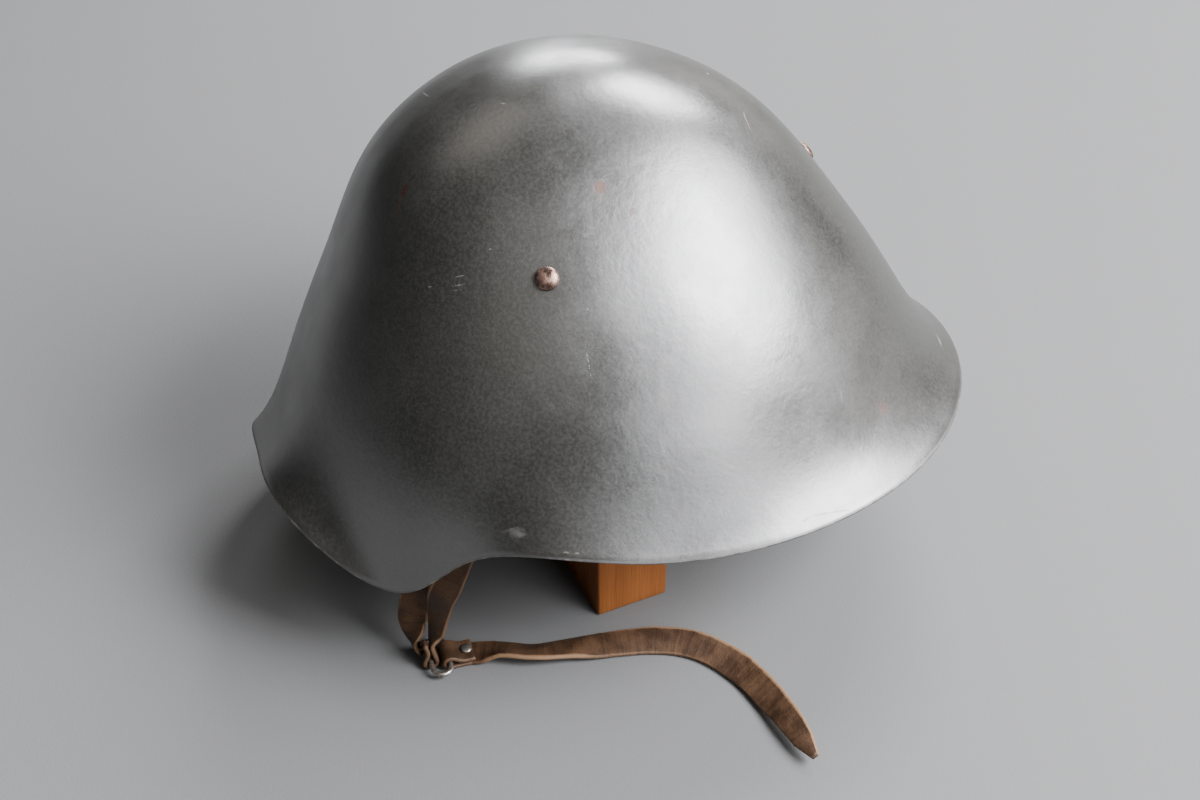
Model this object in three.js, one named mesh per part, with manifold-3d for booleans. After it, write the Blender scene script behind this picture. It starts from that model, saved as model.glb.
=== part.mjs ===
// A steel combat helmet with sloping sides, tilted on a wooden block, with its chin strap unfastened.
// Millimetres, +Z up. The helmet faces -Y, the wearer's left is +X, and the floor is at Z = 0.
import * as THREE from 'three';
import * as BufferGeometryUtils from 'three/addons/utils/BufferGeometryUtils.js';
import Module from 'manifold-3d';

const wasm = await Module();
wasm.setup();

// Helmet shell: one pressed steel wall, in the helmet's own frame with the crown on the Z axis
const WALL = 1.4;
const CROWN_HEIGHT = 170;
const DOME_RADIUS = 94.5;
const DOME_FORWARD = 7.5;
const SQUARENESS = 2.24;
const FLARE_REACH = 14;

// Distance from the dome's centre to the wall, at each angle above or below level
const PROFILES = [
  { angle: 90, front: DOME_RADIUS, rear: DOME_RADIUS, side: DOME_RADIUS },
  { angle: 62, front: 96, rear: 96, side: 96 },
  { angle: 35, front: 99, rear: 103, side: 93 },
  { angle: 10, front: 104, rear: 113.5, side: 100 },
  { angle: -15, front: 130, rear: 141.5, side: 121 },
  { angle: -40, front: 162.5, rear: 174, side: 156 },
  { angle: -60, front: 189, rear: 200, side: 190 },
];

// The rim's height and outward flare, by azimuth from the front. Both sides are alike
const RIM = [
  { azimuth: 0, height: 20.5, flare: 15.5 },
  { azimuth: 10, height: 20.3, flare: 17 },
  { azimuth: 20, height: 13, flare: 16.5 },
  { azimuth: 30, height: -5.5, flare: 8.7 },
  { azimuth: 38, height: -14.8, flare: 1.7 },
  { azimuth: 45, height: -9, flare: -1.4 },
  { azimuth: 52, height: 1.7, flare: -1 },
  { azimuth: 66, height: 9, flare: 6 },
  { azimuth: 85, height: 1.5, flare: 9.7 },
  { azimuth: 110, height: -0.8, flare: 15 },
  { azimuth: 140, height: 7.5, flare: 19.7 },
  { azimuth: 180, height: 22.5, flare: 18.5 },
];

// How finely half the wall is divided, closest round the visor corner and the temple
const AZIMUTH_BANDS = [
  { from: 0, to: 20, steps: 3 },
  { from: 20, to: 80, steps: 18 },
  { from: 80, to: 180, steps: 13 },
];
const WALL_ROWS = 19;
const ROW_CROWDING = 0.85;

// Pose: the right of the rim stands on the floor and the block lifts the left
const ROLL = 17.9;
const PITCH = 1.6;

// Clearance between neighbouring pieces, and behind a flat strap on the curved band
const GAP = 0.35;
const CURVED_GAP = 0.95;

// Rivets and the hidden band that they hold
const RIVET_HEIGHT = 106;
const RIVETS = [
  { name: 'rivet_front_left', azimuth: 72 },
  { name: 'rivet_front_right', azimuth: -72 },
  { name: 'rivet_rear', azimuth: 180 },
];
const RIVET = { headRadius: 4.6, headRise: 2.3, shankRadius: 2, clenchRadius: 3.6, clenchRise: 1.2 };
const BAND = { thickness: 2.2, height: 22, wallGap: 0.5 };

// Leather straps
const STRAP_WIDTH = 13;
const STRAP_THICKNESS = 2;
const STRAP_STEP = 8;
const STUD = { headRadius: 2.4, headRise: 1.1, shankRadius: 1.1 };
const FLOOR_CLEARANCE = 0.25;

// A metal loop: two straight bars joined by half rounds, lying flat
const LOOP = { wireRadius: 1.1, barLength: 12.4, barReach: 3.8 };
const EYE_RADIUS = LOOP.wireRadius + GAP + STRAP_THICKNESS / 2;
const EYE_LENGTH = 5.2;
const LOOP_HEIGHT = EYE_RADIUS + STRAP_THICKNESS / 2 + FLOOR_CLEARANCE;
const LEFT_LOOP = { x: 78, y: -96, turn: 0 };
const RIGHT_LOOP = { x: -34, y: -70, turn: 90 };
const LEG_END_WIDTH = 4.4;

// Wooden block: the bottom corner nearest the wearer's left front, and its sides
const BLOCK = { cornerX: 71.4, cornerY: -25.7, width: 32, depth: 50, height: 150.5, turn: 9 };

const rad = THREE.MathUtils.degToRad;
const UP = new THREE.Vector3(0, 0, 1);

// Small helpers

// A cubic spline through the rows of a table: flat at its start, and flat or free at its end
function spline(rows, key, column, flatEnd) {
  const x = rows.map((row) => row[key]);
  const y = rows.map((row) => row[column]);
  const last = x.length - 1;
  const h = x.slice(1).map((value, i) => value - x[i]);
  const slope = h.map((step, i) => (y[i + 1] - y[i]) / step);
  const diagonal = x.map((_, i) => (i === 0 ? 2 * h[0] : i === last ? 2 * h[last - 1] : 2 * (h[i - 1] + h[i])));
  const upper = x.map((_, i) => (i < last ? h[i] : 0));
  const lower = x.map((_, i) => (i > 0 ? h[i - 1] : 0));
  const right = x.map((_, i) => 6 * ((i < last ? slope[i] : 0) - (i > 0 ? slope[i - 1] : 0)));
  if (!flatEnd) {
    lower[last] = 0;
    right[last] = 0;
  }
  for (let i = 1; i <= last; i += 1) {
    const factor = lower[i] / diagonal[i - 1];
    diagonal[i] -= factor * upper[i - 1];
    right[i] -= factor * right[i - 1];
  }
  const bend = new Array(last + 1).fill(0);
  for (let i = last; i >= 0; i -= 1) {
    bend[i] = (right[i] - (i < last ? upper[i] * bend[i + 1] : 0)) / diagonal[i];
  }
  return (at) => {
    let i = 0;
    while (i < last - 1 && (at - x[i + 1]) * Math.sign(h[0]) > 0) i += 1;
    const a = (x[i + 1] - at) / h[i];
    const b = (at - x[i]) / h[i];
    const curve = ((a ** 3 - a) * bend[i] + (b ** 3 - b) * bend[i + 1]) * (h[i] ** 2 / 6);
    return a * y[i] + b * y[i + 1] + curve;
  };
}

// The value between low and high at which a rising function passes the target
function bisect(rising, target, low, high) {
  let bottom = low;
  let top = high;
  for (let i = 0; i < 40; i += 1) {
    const middle = (bottom + top) / 2;
    if (rising(middle) < target) bottom = middle;
    else top = middle;
  }
  return (bottom + top) / 2;
}

// A closed solid from rings of corners: sides between neighbouring rings, and both ends capped
function skinRings(rings, closed = false) {
  const count = rings[0].length;
  const positions = rings.flat().flatMap((point) => [point.x, point.y, point.z]);
  const index = [];
  const spans = closed ? rings.length : rings.length - 1;
  for (let i = 0; i < spans; i += 1) {
    const here = i * count;
    const next = ((i + 1) % rings.length) * count;
    for (let j = 0; j < count; j += 1) {
      const k = (j + 1) % count;
      index.push(here + j, here + k, next + k, here + j, next + k, next + j);
    }
  }
  if (!closed) {
    const end = (rings.length - 1) * count;
    for (let j = 1; j < count - 1; j += 1) {
      index.push(0, j + 1, j, end, end + j, end + j + 1);
    }
  }
  const geometry = new THREE.BufferGeometry();
  geometry.setAttribute('position', new THREE.Float32BufferAttribute(positions, 3));
  geometry.setIndex(index);
  return geometry;
}

function toSolid(geometry) {
  const bare = geometry.clone();
  bare.deleteAttribute('normal');
  bare.deleteAttribute('uv');
  const merged = BufferGeometryUtils.mergeVertices(bare, 1e-4);
  const mesh = new wasm.Mesh({
    numProp: 3,
    vertProperties: new Float32Array(merged.attributes.position.array),
    triVerts: new Uint32Array(merged.index.array),
  });
  return new wasm.Manifold(mesh);
}

function cutHoles(geometry, drills) {
  let solid = toSolid(geometry);
  for (const drill of drills) solid = solid.subtract(toSolid(drill));
  const mesh = solid.getMesh();
  const cut = new THREE.BufferGeometry();
  cut.setAttribute('position', new THREE.BufferAttribute(new Float32Array(mesh.vertProperties), 3));
  cut.setIndex(new THREE.BufferAttribute(new Uint32Array(mesh.triVerts), 1));
  return cut;
}

// Turns a geometry made along +Y so that it points along the axis, and sets it at a place
function along(geometry, place, axis) {
  const turn = new THREE.Quaternion().setFromUnitVectors(new THREE.Vector3(0, 1, 0), axis.clone().normalize());
  return geometry.applyQuaternion(turn).translate(place.x, place.y, place.z);
}

const drill = (radius, place, axis) => along(new THREE.CylinderGeometry(radius, radius, 30, 16), place, axis);

// A rivet or stud along +Y: a domed head above zero, a shank, and a clenched head below the grip
function rivetGeometry({ headRadius, headRise, shankRadius, clenchRadius, clenchRise }, grip) {
  const points = [];
  const domeSteps = 4;
  for (let i = 0; i <= domeSteps; i += 1) {
    const angle = rad(90 * (1 - i / domeSteps));
    points.push(new THREE.Vector2(headRadius * Math.cos(angle), headRise * Math.sin(angle)));
  }
  points[0].x = 0;
  points.push(new THREE.Vector2(shankRadius, 0));
  points.push(new THREE.Vector2(shankRadius, -grip));
  if (clenchRadius) {
    points.push(new THREE.Vector2(clenchRadius, -grip));
    points.push(new THREE.Vector2(clenchRadius * 0.7, -grip - clenchRise));
    points.push(new THREE.Vector2(0, -grip - clenchRise));
  } else {
    points.push(new THREE.Vector2(0, -grip));
  }
  return new THREE.LatheGeometry(points.reverse(), 12);
}

// Shell wall

const front = spline(PROFILES, 'angle', 'front', false);
const rear = spline(PROFILES, 'angle', 'rear', false);
const side = spline(PROFILES, 'angle', 'side', false);
const rimHeight = spline(RIM, 'azimuth', 'height', true);
const rimFlare = spline(RIM, 'azimuth', 'flare', true);
const CENTRE_Z = CROWN_HEIGHT - DOME_RADIUS;

function wallRadius(azimuth, angle) {
  const ahead = Math.cos(rad(azimuth));
  const across = Math.abs(Math.sin(rad(azimuth)));
  const lengthwise = ahead > 0 ? front(angle) : rear(angle);
  const roundness = angle > 0 ? Math.cos(rad(angle)) ** 2 : 1;
  const power = 2 + (SQUARENESS - 2) * roundness;
  return ((Math.abs(ahead) / lengthwise) ** power + (across / side(angle)) ** power) ** (-1 / power);
}

function mirrored(azimuth) {
  const turned = ((azimuth % 360) + 360) % 360;
  return turned > 180 ? 360 - turned : turned;
}

function rimAngle(azimuth) {
  const height = (angle) => CENTRE_Z + wallRadius(azimuth, angle) * Math.sin(rad(angle));
  return bisect(height, rimHeight(mirrored(azimuth)), -60, 0);
}

// A point of the wall's outer face: part is 0 at the crown and 1 at the rim
function outerPoint(azimuth, part, rim = rimAngle(azimuth)) {
  const angle = 90 + (rim - 90) * part ** ROW_CROWDING;
  const radius = wallRadius(azimuth, angle);
  const fromRim = radius * rad(angle - rim);
  const reach = radius * Math.cos(rad(angle)) + rimFlare(mirrored(azimuth)) * Math.exp(-fromRim / FLARE_REACH);
  const x = reach * Math.sin(rad(azimuth));
  const y = -DOME_FORWARD - reach * Math.cos(rad(azimuth));
  return new THREE.Vector3(x, y, CENTRE_Z + radius * Math.sin(rad(angle)));
}

function outerNormal(azimuth, part) {
  if (part < 0.001) return new THREE.Vector3(0, 0, 1);
  const step = 0.01;
  const round = outerPoint(azimuth + 1, part).sub(outerPoint(azimuth - 1, part));
  const down = outerPoint(azimuth, Math.min(1, part + step)).sub(outerPoint(azimuth, part - step));
  return down.cross(round).normalize();
}

function insetPoint(azimuth, part, depth) {
  return outerPoint(azimuth, part).addScaledVector(outerNormal(azimuth, part), -depth);
}

// The part of the way down at which the outer face has this height
function partAtHeight(azimuth, height) {
  return bisect((part) => -outerPoint(azimuth, part).z, -height, 0, 1);
}

function azimuthStations() {
  const half = [];
  for (const { from, to, steps } of AZIMUTH_BANDS) {
    for (let i = 0; i < steps; i += 1) half.push(from + ((to - from) * i) / steps);
  }
  const back = half.slice(1).map((azimuth) => 360 - azimuth).reverse();
  return [...half, 180, ...back];
}

const AZIMUTHS = azimuthStations();

// Outer rings from the crown down, then inner rings back up to the crown
function shellGeometry() {
  const rings = [];
  for (let i = 1; i <= WALL_ROWS; i += 1) {
    rings.push(AZIMUTHS.map((azimuth) => outerPoint(azimuth, i / WALL_ROWS)));
  }
  for (let i = WALL_ROWS; i >= 1; i -= 1) {
    rings.push(AZIMUTHS.map((azimuth) => insetPoint(azimuth, i / WALL_ROWS, WALL)));
  }
  const count = AZIMUTHS.length;
  const points = rings.flat();
  const top = points.push(new THREE.Vector3(0, -DOME_FORWARD, CROWN_HEIGHT)) - 1;
  const under = points.push(new THREE.Vector3(0, -DOME_FORWARD, CROWN_HEIGHT - WALL)) - 1;
  const index = [];
  for (let j = 0; j < count; j += 1) {
    const k = (j + 1) % count;
    index.push(top, j, k);
    index.push(under, (rings.length - 1) * count + k, (rings.length - 1) * count + j);
    for (let i = 0; i < rings.length - 1; i += 1) {
      const here = i * count;
      const next = here + count;
      index.push(here + j, next + j, next + k, here + j, next + k, here + k);
    }
  }
  const geometry = new THREE.BufferGeometry();
  geometry.setAttribute('position', new THREE.Float32BufferAttribute(points.flatMap((p) => [p.x, p.y, p.z]), 3));
  geometry.setIndex(index);
  return geometry;
}

const bandOuterDepth = WALL + BAND.wallGap;
const bandInnerDepth = bandOuterDepth + BAND.thickness;

function bandGeometry() {
  const heights = [1, 0, -1].map((part) => RIVET_HEIGHT + (part * BAND.height) / 2);
  const rings = AZIMUTHS.map((azimuth) => {
    const parts = heights.map((height) => partAtHeight(azimuth, height));
    const outer = parts.map((part) => insetPoint(azimuth, part, bandOuterDepth));
    const inner = parts.map((part) => insetPoint(azimuth, part, bandInnerDepth));
    return [...outer, ...inner.reverse()];
  });
  return skinRings(rings, true);
}

// The outer face's point and outward direction at a place on the rivet line
function seat(azimuth) {
  const part = partAtHeight(azimuth, RIVET_HEIGHT);
  return { place: outerPoint(azimuth, part), axis: outerNormal(azimuth, part), part };
}

// Straps: rows of centre, width direction and width, skinned with a flat section

const flatDirection = (turn, bank = 0) => new THREE.Vector3(
  Math.cos(rad(turn)) * Math.cos(rad(bank)),
  Math.sin(rad(turn)) * Math.cos(rad(bank)),
  Math.sin(rad(bank)),
);

function strapGeometry(rows) {
  const curve = new THREE.CatmullRomCurve3(rows.map((row) => row.at), false, 'centripetal');
  const stations = [];
  for (let i = 0; i < rows.length - 1; i += 1) {
    const steps = Math.max(1, Math.round(rows[i].at.distanceTo(rows[i + 1].at) / STRAP_STEP));
    for (let j = 0; j < steps; j += 1) stations.push(i + j / steps);
  }
  stations.push(rows.length - 1);
  const rings = stations.map((station) => {
    const i = Math.min(Math.floor(station), rows.length - 2);
    const part = station - i;
    const at = curve.getPoint(station / (rows.length - 1));
    const tangent = curve.getTangent(station / (rows.length - 1));
    const wide = rows[i].wide.clone().lerp(rows[i + 1].wide, part);
    wide.addScaledVector(tangent, -wide.dot(tangent)).normalize();
    const thick = new THREE.Vector3().crossVectors(wide, tangent).multiplyScalar(STRAP_THICKNESS / 2);
    wide.multiplyScalar(THREE.MathUtils.lerp(rows[i].width, rows[i + 1].width, part) / 2);
    const corner = (a, b) => at.clone().addScaledVector(wide, a).addScaledVector(thick, b);
    return [corner(-1, -1), corner(-1, 1), corner(1, 1), corner(1, -1)];
  });
  return skinRings(rings);
}

// The rows of a strap's end folded round one bar of a loop, from the tail to the main run.
// Rise is the angle at which the main run leaves, and fold is +1 or -1 for the side of the tail
function eyeRows(loop, { bar, offset, rise, fold, width, tail, run: runLength }) {
  const barAxis = flatDirection(loop.turn);
  const outward = flatDirection(loop.turn + 90).multiplyScalar(bar);
  const centre = new THREE.Vector3(loop.x, loop.y, LOOP_HEIGHT)
    .addScaledVector(outward, LOOP.barReach)
    .addScaledVector(barAxis, offset);
  const run = outward.clone().multiplyScalar(Math.cos(rad(rise))).addScaledVector(UP, Math.sin(rad(rise)));
  const over = outward.clone().multiplyScalar(-Math.sin(rad(rise))).addScaledVector(UP, Math.cos(rad(rise)));
  over.multiplyScalar(fold);
  const row = (p, q) => ({ at: centre.clone().addScaledVector(run, p).addScaledVector(over, q), wide: barAxis, width });
  const ply = -EYE_RADIUS + STRAP_THICKNESS + GAP;
  const rows = [row(tail, ply), row(EYE_LENGTH, ply)];
  for (let angle = 120; angle >= -90; angle -= 30) {
    rows.push(row(-EYE_RADIUS * Math.cos(rad(angle)), EYE_RADIUS * Math.sin(rad(angle))));
  }
  rows.push(row(runLength, -EYE_RADIUS));
  return rows;
}

// The rows of a leg's upper end, lying on the band's inner face below its stud
function bandRows(azimuth, toFloorFrame) {
  const depth = bandInnerDepth + CURVED_GAP + STRAP_THICKNESS / 2;
  const tilt = new THREE.Matrix3().setFromMatrix4(toFloorFrame);
  return [-0.42, 0, 0.4].map((share) => {
    const part = partAtHeight(azimuth, RIVET_HEIGHT + share * BAND.height);
    const at = insetPoint(azimuth, part, depth).applyMatrix4(toFloorFrame);
    const wide = new THREE.Vector3().crossVectors(UP, outerNormal(azimuth, part)).normalize();
    wide.multiplyScalar(Math.sign(azimuth)).applyMatrix3(tilt);
    return { at, wide, width: STRAP_WIDTH };
  });
}

function loopGeometry() {
  const path = new THREE.CurvePath();
  const half = LOOP.barLength / 2;
  const reach = LOOP.barReach;
  const points = [];
  const bends = 8;
  for (const end of [1, -1]) {
    for (let i = 0; i <= bends; i += 1) {
      const angle = rad(90 - (180 * i) / bends);
      points.push(new THREE.Vector3(end * (half + reach * Math.cos(angle)), end * reach * Math.sin(angle), 0));
    }
  }
  const rings = points.map((point) => {
    const centre = new THREE.Vector3(THREE.MathUtils.clamp(point.x, -half, half), 0, 0);
    const outward = point.clone().sub(centre).normalize();
    const ring = [];
    for (let j = 0; j < 8; j += 1) {
      const angle = rad(45 * j);
      const spot = point.clone().addScaledVector(outward, LOOP.wireRadius * Math.cos(angle));
      spot.z += LOOP.wireRadius * Math.sin(angle);
      ring.push(spot);
    }
    return ring;
  });
  return skinRings(rings, true);
}

// Materials

const finish = (color, roughness, metalness) => new THREE.MeshStandardMaterial({ color, roughness, metalness });
const paint = finish(0x4b4e49, 0.45, 0.3);
const rivetMetal = finish(0x9a7f74, 0.45, 0.8);
const paleMetal = finish(0xb8b0a4, 0.4, 0.9);
const leather = finish(0x7a563a, 0.75, 0);
const wood = finish(0xa5642d, 0.65, 0);

function named(name, geometry, material) {
  geometry.deleteAttribute('uv');
  const mesh = new THREE.Mesh(geometry, material);
  mesh.name = name;
  return mesh;
}

// Helmet group: the shell, its rivets, the band and the studs of the four legs

const shellBlank = shellGeometry();
const tiltTurn = new THREE.Euler(rad(PITCH), rad(-ROLL), 0);
const lowest = new THREE.Box3().setFromBufferAttribute(
  shellBlank.clone().applyMatrix4(new THREE.Matrix4().makeRotationFromEuler(tiltTurn)).attributes.position,
).min.z;

const helmet = new THREE.Group();
helmet.rotation.copy(tiltTurn);
helmet.position.z = -lowest;
helmet.updateMatrix();

const LEGS = [
  {
    name: 'left_front_leg', azimuth: 28, loop: LEFT_LOOP,
    eye: { bar: -1, offset: -3.9, rise: 60, fold: 1, width: LEG_END_WIDTH, tail: 5.6, run: 4.5 },
    rows: [
      { x: 72.6, y: -105.2, z: 9.2, turn: 12, width: 5.5 },
      { x: 70.1, y: -104.6, z: 13, turn: 42, width: 10.5 },
      { x: 67, y: -103.9, z: 17.5, turn: 58, width: 13 },
      { x: 64.9, y: -102.2, z: 24.5, turn: 60, width: 13 },
      { x: 64.4, y: -101.4, z: 30, turn: 60, width: 13 },
      { x: 56, y: -99.5, z: 48, turn: 50, width: 13 },
      { x: 30, y: -99, z: 95, turn: 28, width: 13 },
    ],
  },
  {
    name: 'left_rear_leg', azimuth: 60, loop: LEFT_LOOP,
    eye: { bar: -1, offset: 1, rise: 80, fold: -1, width: LEG_END_WIDTH, tail: 11, run: 9 },
    rows: [
      { x: 77.3, y: -96.2, z: 19.2, turn: 25, width: 9.7 },
      { x: 76.6, y: -94.8, z: 27.4, turn: 38, width: 11 },
      { x: 76.4, y: -93, z: 36, turn: 48, width: 12.3 },
      { x: 76, y: -90, z: 43, turn: 54, width: 13 },
      { x: 72, y: -82, z: 60, turn: 58, width: 13 },
      { x: 62, y: -68, z: 102, turn: 60, width: 13 },
    ],
  },
  {
    name: 'right_front_leg', azimuth: -28, loop: RIGHT_LOOP,
    eye: { bar: 1, offset: -3, rise: 0, fold: 1, width: LEG_END_WIDTH, tail: 14, run: 10 },
    rows: [
      { x: -60, y: -75, z: 1.5, turn: 94, width: 8 },
      { x: -73, y: -80, z: 5, turn: 104, width: 10 },
      { x: -78, y: -86, z: 30, turn: 125, width: 12 },
      { x: -79, y: -89, z: 75, turn: 142, width: 13 },
    ],
  },
  {
    name: 'right_rear_leg', azimuth: -60, loop: RIGHT_LOOP,
    eye: { bar: 1, offset: 3, rise: 0, fold: 1, width: LEG_END_WIDTH, tail: 14, run: 10 },
    rows: [
      { x: -60, y: -65, z: 1.5, turn: 88, width: 8 },
      { x: -80, y: -61, z: 3, turn: 92, width: 11 },
      { x: -98, y: -57, z: 16, turn: 100, width: 13 },
      { x: -105, y: -54, z: 50, turn: 112, width: 13 },
    ],
  },
];

const legSeat = (azimuth) => {
  const { place, axis } = seat(azimuth);
  const innerFace = place.clone().addScaledVector(axis, -(bandInnerDepth + CURVED_GAP + STRAP_THICKNESS + GAP));
  return { place: innerFace, axis: axis.clone().negate() };
};

const rivetDrills = RIVETS.map(({ azimuth }) => {
  const { place, axis } = seat(azimuth);
  return drill(RIVET.shankRadius + GAP, place, axis);
});
const legDrills = LEGS.map(({ azimuth }) => {
  const { place, axis } = legSeat(azimuth);
  return drill(STUD.shankRadius + GAP, place, axis);
});

helmet.add(named('shell', cutHoles(shellBlank, rivetDrills), paint));
helmet.add(named('strap_band', cutHoles(bandGeometry(), [...rivetDrills, ...legDrills]), leather));

for (const { name, azimuth } of RIVETS) {
  const { place, axis } = seat(azimuth);
  const headSeat = place.clone().addScaledVector(axis, GAP);
  helmet.add(named(name, along(rivetGeometry(RIVET, GAP + bandInnerDepth + GAP), headSeat, axis), rivetMetal));
}

for (const { name, azimuth } of LEGS) {
  const { place, axis } = legSeat(azimuth);
  const grip = GAP + STRAP_THICKNESS + CURVED_GAP + BAND.thickness;
  helmet.add(named(`${name}_stud`, along(rivetGeometry(STUD, grip), place, axis), paleMetal));
}

// Legs, loops, free strap and block, in the floor's frame

const assembly = new THREE.Group();
assembly.add(helmet);

for (const leg of LEGS) {
  const rows = eyeRows(leg.loop, leg.eye);
  for (const { x, y, z, turn, width } of leg.rows) {
    rows.push({ at: new THREE.Vector3(x, y, z), wide: flatDirection(turn), width });
  }
  rows.push(...bandRows(leg.azimuth, helmet.matrix));
  const { place, axis } = legSeat(leg.azimuth);
  const hole = drill(STUD.shankRadius + GAP, place, axis).applyMatrix4(helmet.matrix);
  assembly.add(named(leg.name, cutHoles(strapGeometry(rows), [hole]), leather));
}

for (const [name, loop] of [['left_loop', LEFT_LOOP], ['right_loop', RIGHT_LOOP]]) {
  const ring = named(name, loopGeometry(), paleMetal);
  ring.position.set(loop.x, loop.y, LOOP_HEIGHT);
  ring.rotation.z = rad(loop.turn);
  assembly.add(ring);
}

// The free strap's centre line from the loop to its pointed end
const STRAP_EYE = { bar: 1, offset: 0, rise: 0, fold: 1, width: 11.5, tail: 10.5, run: 10 };
const FREE_STRAP = [
  { x: 79.2, y: -78.3, z: 1.9, turn: -6, bank: 5, width: 12.2 },
  { x: 81.5, y: -70.9, z: 4, turn: -12.8, bank: 23, width: 12.6 },
  { x: 86.5, y: -58, z: 4.1, turn: -14, bank: 25, width: 13 },
  { x: 88.6, y: -40.6, z: 3.2, turn: -15, bank: 13, width: 13 },
  { x: 89.4, y: -29.9, z: 2.3, turn: -16, bank: -1, width: 13 },
  { x: 92.4, y: -9.4, z: 2.4, turn: -18, bank: -9.7, width: 13 },
  { x: 96.6, y: 2.2, z: 2.7, turn: -27, bank: -12.7, width: 13 },
  { x: 101.5, y: 9.3, z: 3.1, turn: -40, bank: -16, width: 13 },
  { x: 108.9, y: 16.2, z: 3.2, turn: -52, bank: -17, width: 13 },
  { x: 117.6, y: 21.5, z: 3.6, turn: -61, bank: -21, width: 13 },
  { x: 127.2, y: 25.2, z: 4.2, turn: -67, bank: -25, width: 12.6 },
  { x: 138.8, y: 28.4, z: 5.2, turn: -73, bank: -30, width: 12 },
  { x: 150.1, y: 30.8, z: 6.4, turn: -76, bank: -30, width: 11 },
  { x: 161.5, y: 32.8, z: 6.2, turn: -79, bank: -27, width: 9.2 },
  { x: 170.5, y: 34.6, z: 5.8, turn: -80, bank: -24, width: 3.4 },
];
const strapRows = eyeRows(LEFT_LOOP, STRAP_EYE);
for (const { x, y, z, turn, bank, width } of FREE_STRAP) {
  strapRows.push({ at: new THREE.Vector3(x, y, z), wide: flatDirection(turn, bank), width });
}
const STUD_FROM_BAR = 7.8;
const studPlace = new THREE.Vector3(
  LEFT_LOOP.x,
  LEFT_LOOP.y + LOOP.barReach + STUD_FROM_BAR,
  2 * STRAP_THICKNESS + FLOOR_CLEARANCE + 2 * GAP,
);
const strapHole = drill(STUD.shankRadius + GAP, studPlace, UP);
assembly.add(named('chin_strap', cutHoles(strapGeometry(strapRows), [strapHole]), leather));
const strapStud = rivetGeometry(STUD, 2 * STRAP_THICKNESS + 2 * GAP);
assembly.add(named('chin_strap_stud', along(strapStud, studPlace, UP), paleMetal));

const block = named('stand_block', new THREE.BoxGeometry(BLOCK.depth, BLOCK.width, BLOCK.height), wood);
block.geometry.translate(-BLOCK.depth / 2, BLOCK.width / 2, BLOCK.height / 2);
block.position.set(BLOCK.cornerX, BLOCK.cornerY, 0);
block.rotation.z = rad(BLOCK.turn);
assembly.add(block);

// The origin is on the floor under the middle of the whole footprint
assembly.updateMatrixWorld(true);
const footprint = new THREE.Box3().setFromObject(assembly, true).getCenter(new THREE.Vector3());
assembly.position.set(-footprint.x, -footprint.y, 0);

const part = new THREE.Group();
part.add(assembly);

export default part;
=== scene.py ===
"""A steel combat helmet tilted on a wooden block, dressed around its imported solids."""
import math

import bpy
import numpy as np
from mathutils import Matrix, Vector, noise


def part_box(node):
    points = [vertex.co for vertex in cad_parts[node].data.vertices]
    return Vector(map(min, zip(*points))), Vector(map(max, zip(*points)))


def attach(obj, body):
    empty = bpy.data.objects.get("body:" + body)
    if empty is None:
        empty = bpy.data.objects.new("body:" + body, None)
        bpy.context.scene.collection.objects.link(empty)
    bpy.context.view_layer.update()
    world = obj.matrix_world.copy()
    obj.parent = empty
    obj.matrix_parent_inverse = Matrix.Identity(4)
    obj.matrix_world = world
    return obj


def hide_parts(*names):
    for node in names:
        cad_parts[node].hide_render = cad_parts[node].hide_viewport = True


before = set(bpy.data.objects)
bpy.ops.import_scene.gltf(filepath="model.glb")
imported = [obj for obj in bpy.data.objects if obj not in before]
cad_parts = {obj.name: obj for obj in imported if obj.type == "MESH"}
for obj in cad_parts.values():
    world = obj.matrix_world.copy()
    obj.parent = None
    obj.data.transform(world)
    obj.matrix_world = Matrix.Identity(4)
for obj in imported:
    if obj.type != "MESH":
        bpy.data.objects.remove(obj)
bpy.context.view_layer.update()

bl_info = {
    "name": "Steel Helmet on a Block",
    "version": (1, 0, 0),
    "blender": (4, 5, 0),
    "location": "View3D > Sidebar > Helmet",
    "description": "Builds the painted shell, rivets, leather straps and wooden block",
    "category": "Add Mesh",
}

# The sizes below are in millimetres, in the solids' own frame. MM takes them to metres
MM = 0.001
BODY = "root"

# Shell
WALL = 1.4
CROWN_HEIGHT = 170.0
DOME_RADIUS = 94.5
DOME_FORWARD = 7.5
SQUARENESS = 2.24
FLARE_REACH = 14.0
ROW_CROWDING = 0.85
CENTRE_Z = CROWN_HEIGHT - DOME_RADIUS

# The finer mesh of the looks: its grid, its rounded rim and its slow ripples
SHELL_COLUMNS = 320
SHELL_ROWS = 108
COLUMN_CROWDING = 4.5
RIM_BULGE = 0.4
RIPPLE_FADE = 8.0
FAR_FROM_RIM = 200.0

# Columns: angle above level, then the distance from the dome's centre to the front, rear and side
PROFILES = (
    (90, DOME_RADIUS, DOME_RADIUS, DOME_RADIUS),
    (62, 96, 96, 96),
    (35, 99, 103, 93),
    (10, 104, 113.5, 100),
    (-15, 130, 141.5, 121),
    (-40, 162.5, 174, 156),
    (-60, 189, 200, 190),
)

# Columns: azimuth from the front, then the rim's height and its outward flare
RIM = (
    (0, 20.5, 15.5),
    (10, 20.3, 17),
    (20, 13, 16.5),
    (30, -5.5, 8.7),
    (38, -14.8, 1.7),
    (45, -9, -1.4),
    (52, 1.7, -1),
    (66, 9, 6),
    (85, 1.5, 9.7),
    (110, -0.8, 15),
    (140, 7.5, 19.7),
    (180, 22.5, 18.5),
)

# Pose of the helmet on its block
ROLL = 17.9
PITCH = 1.6

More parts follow.
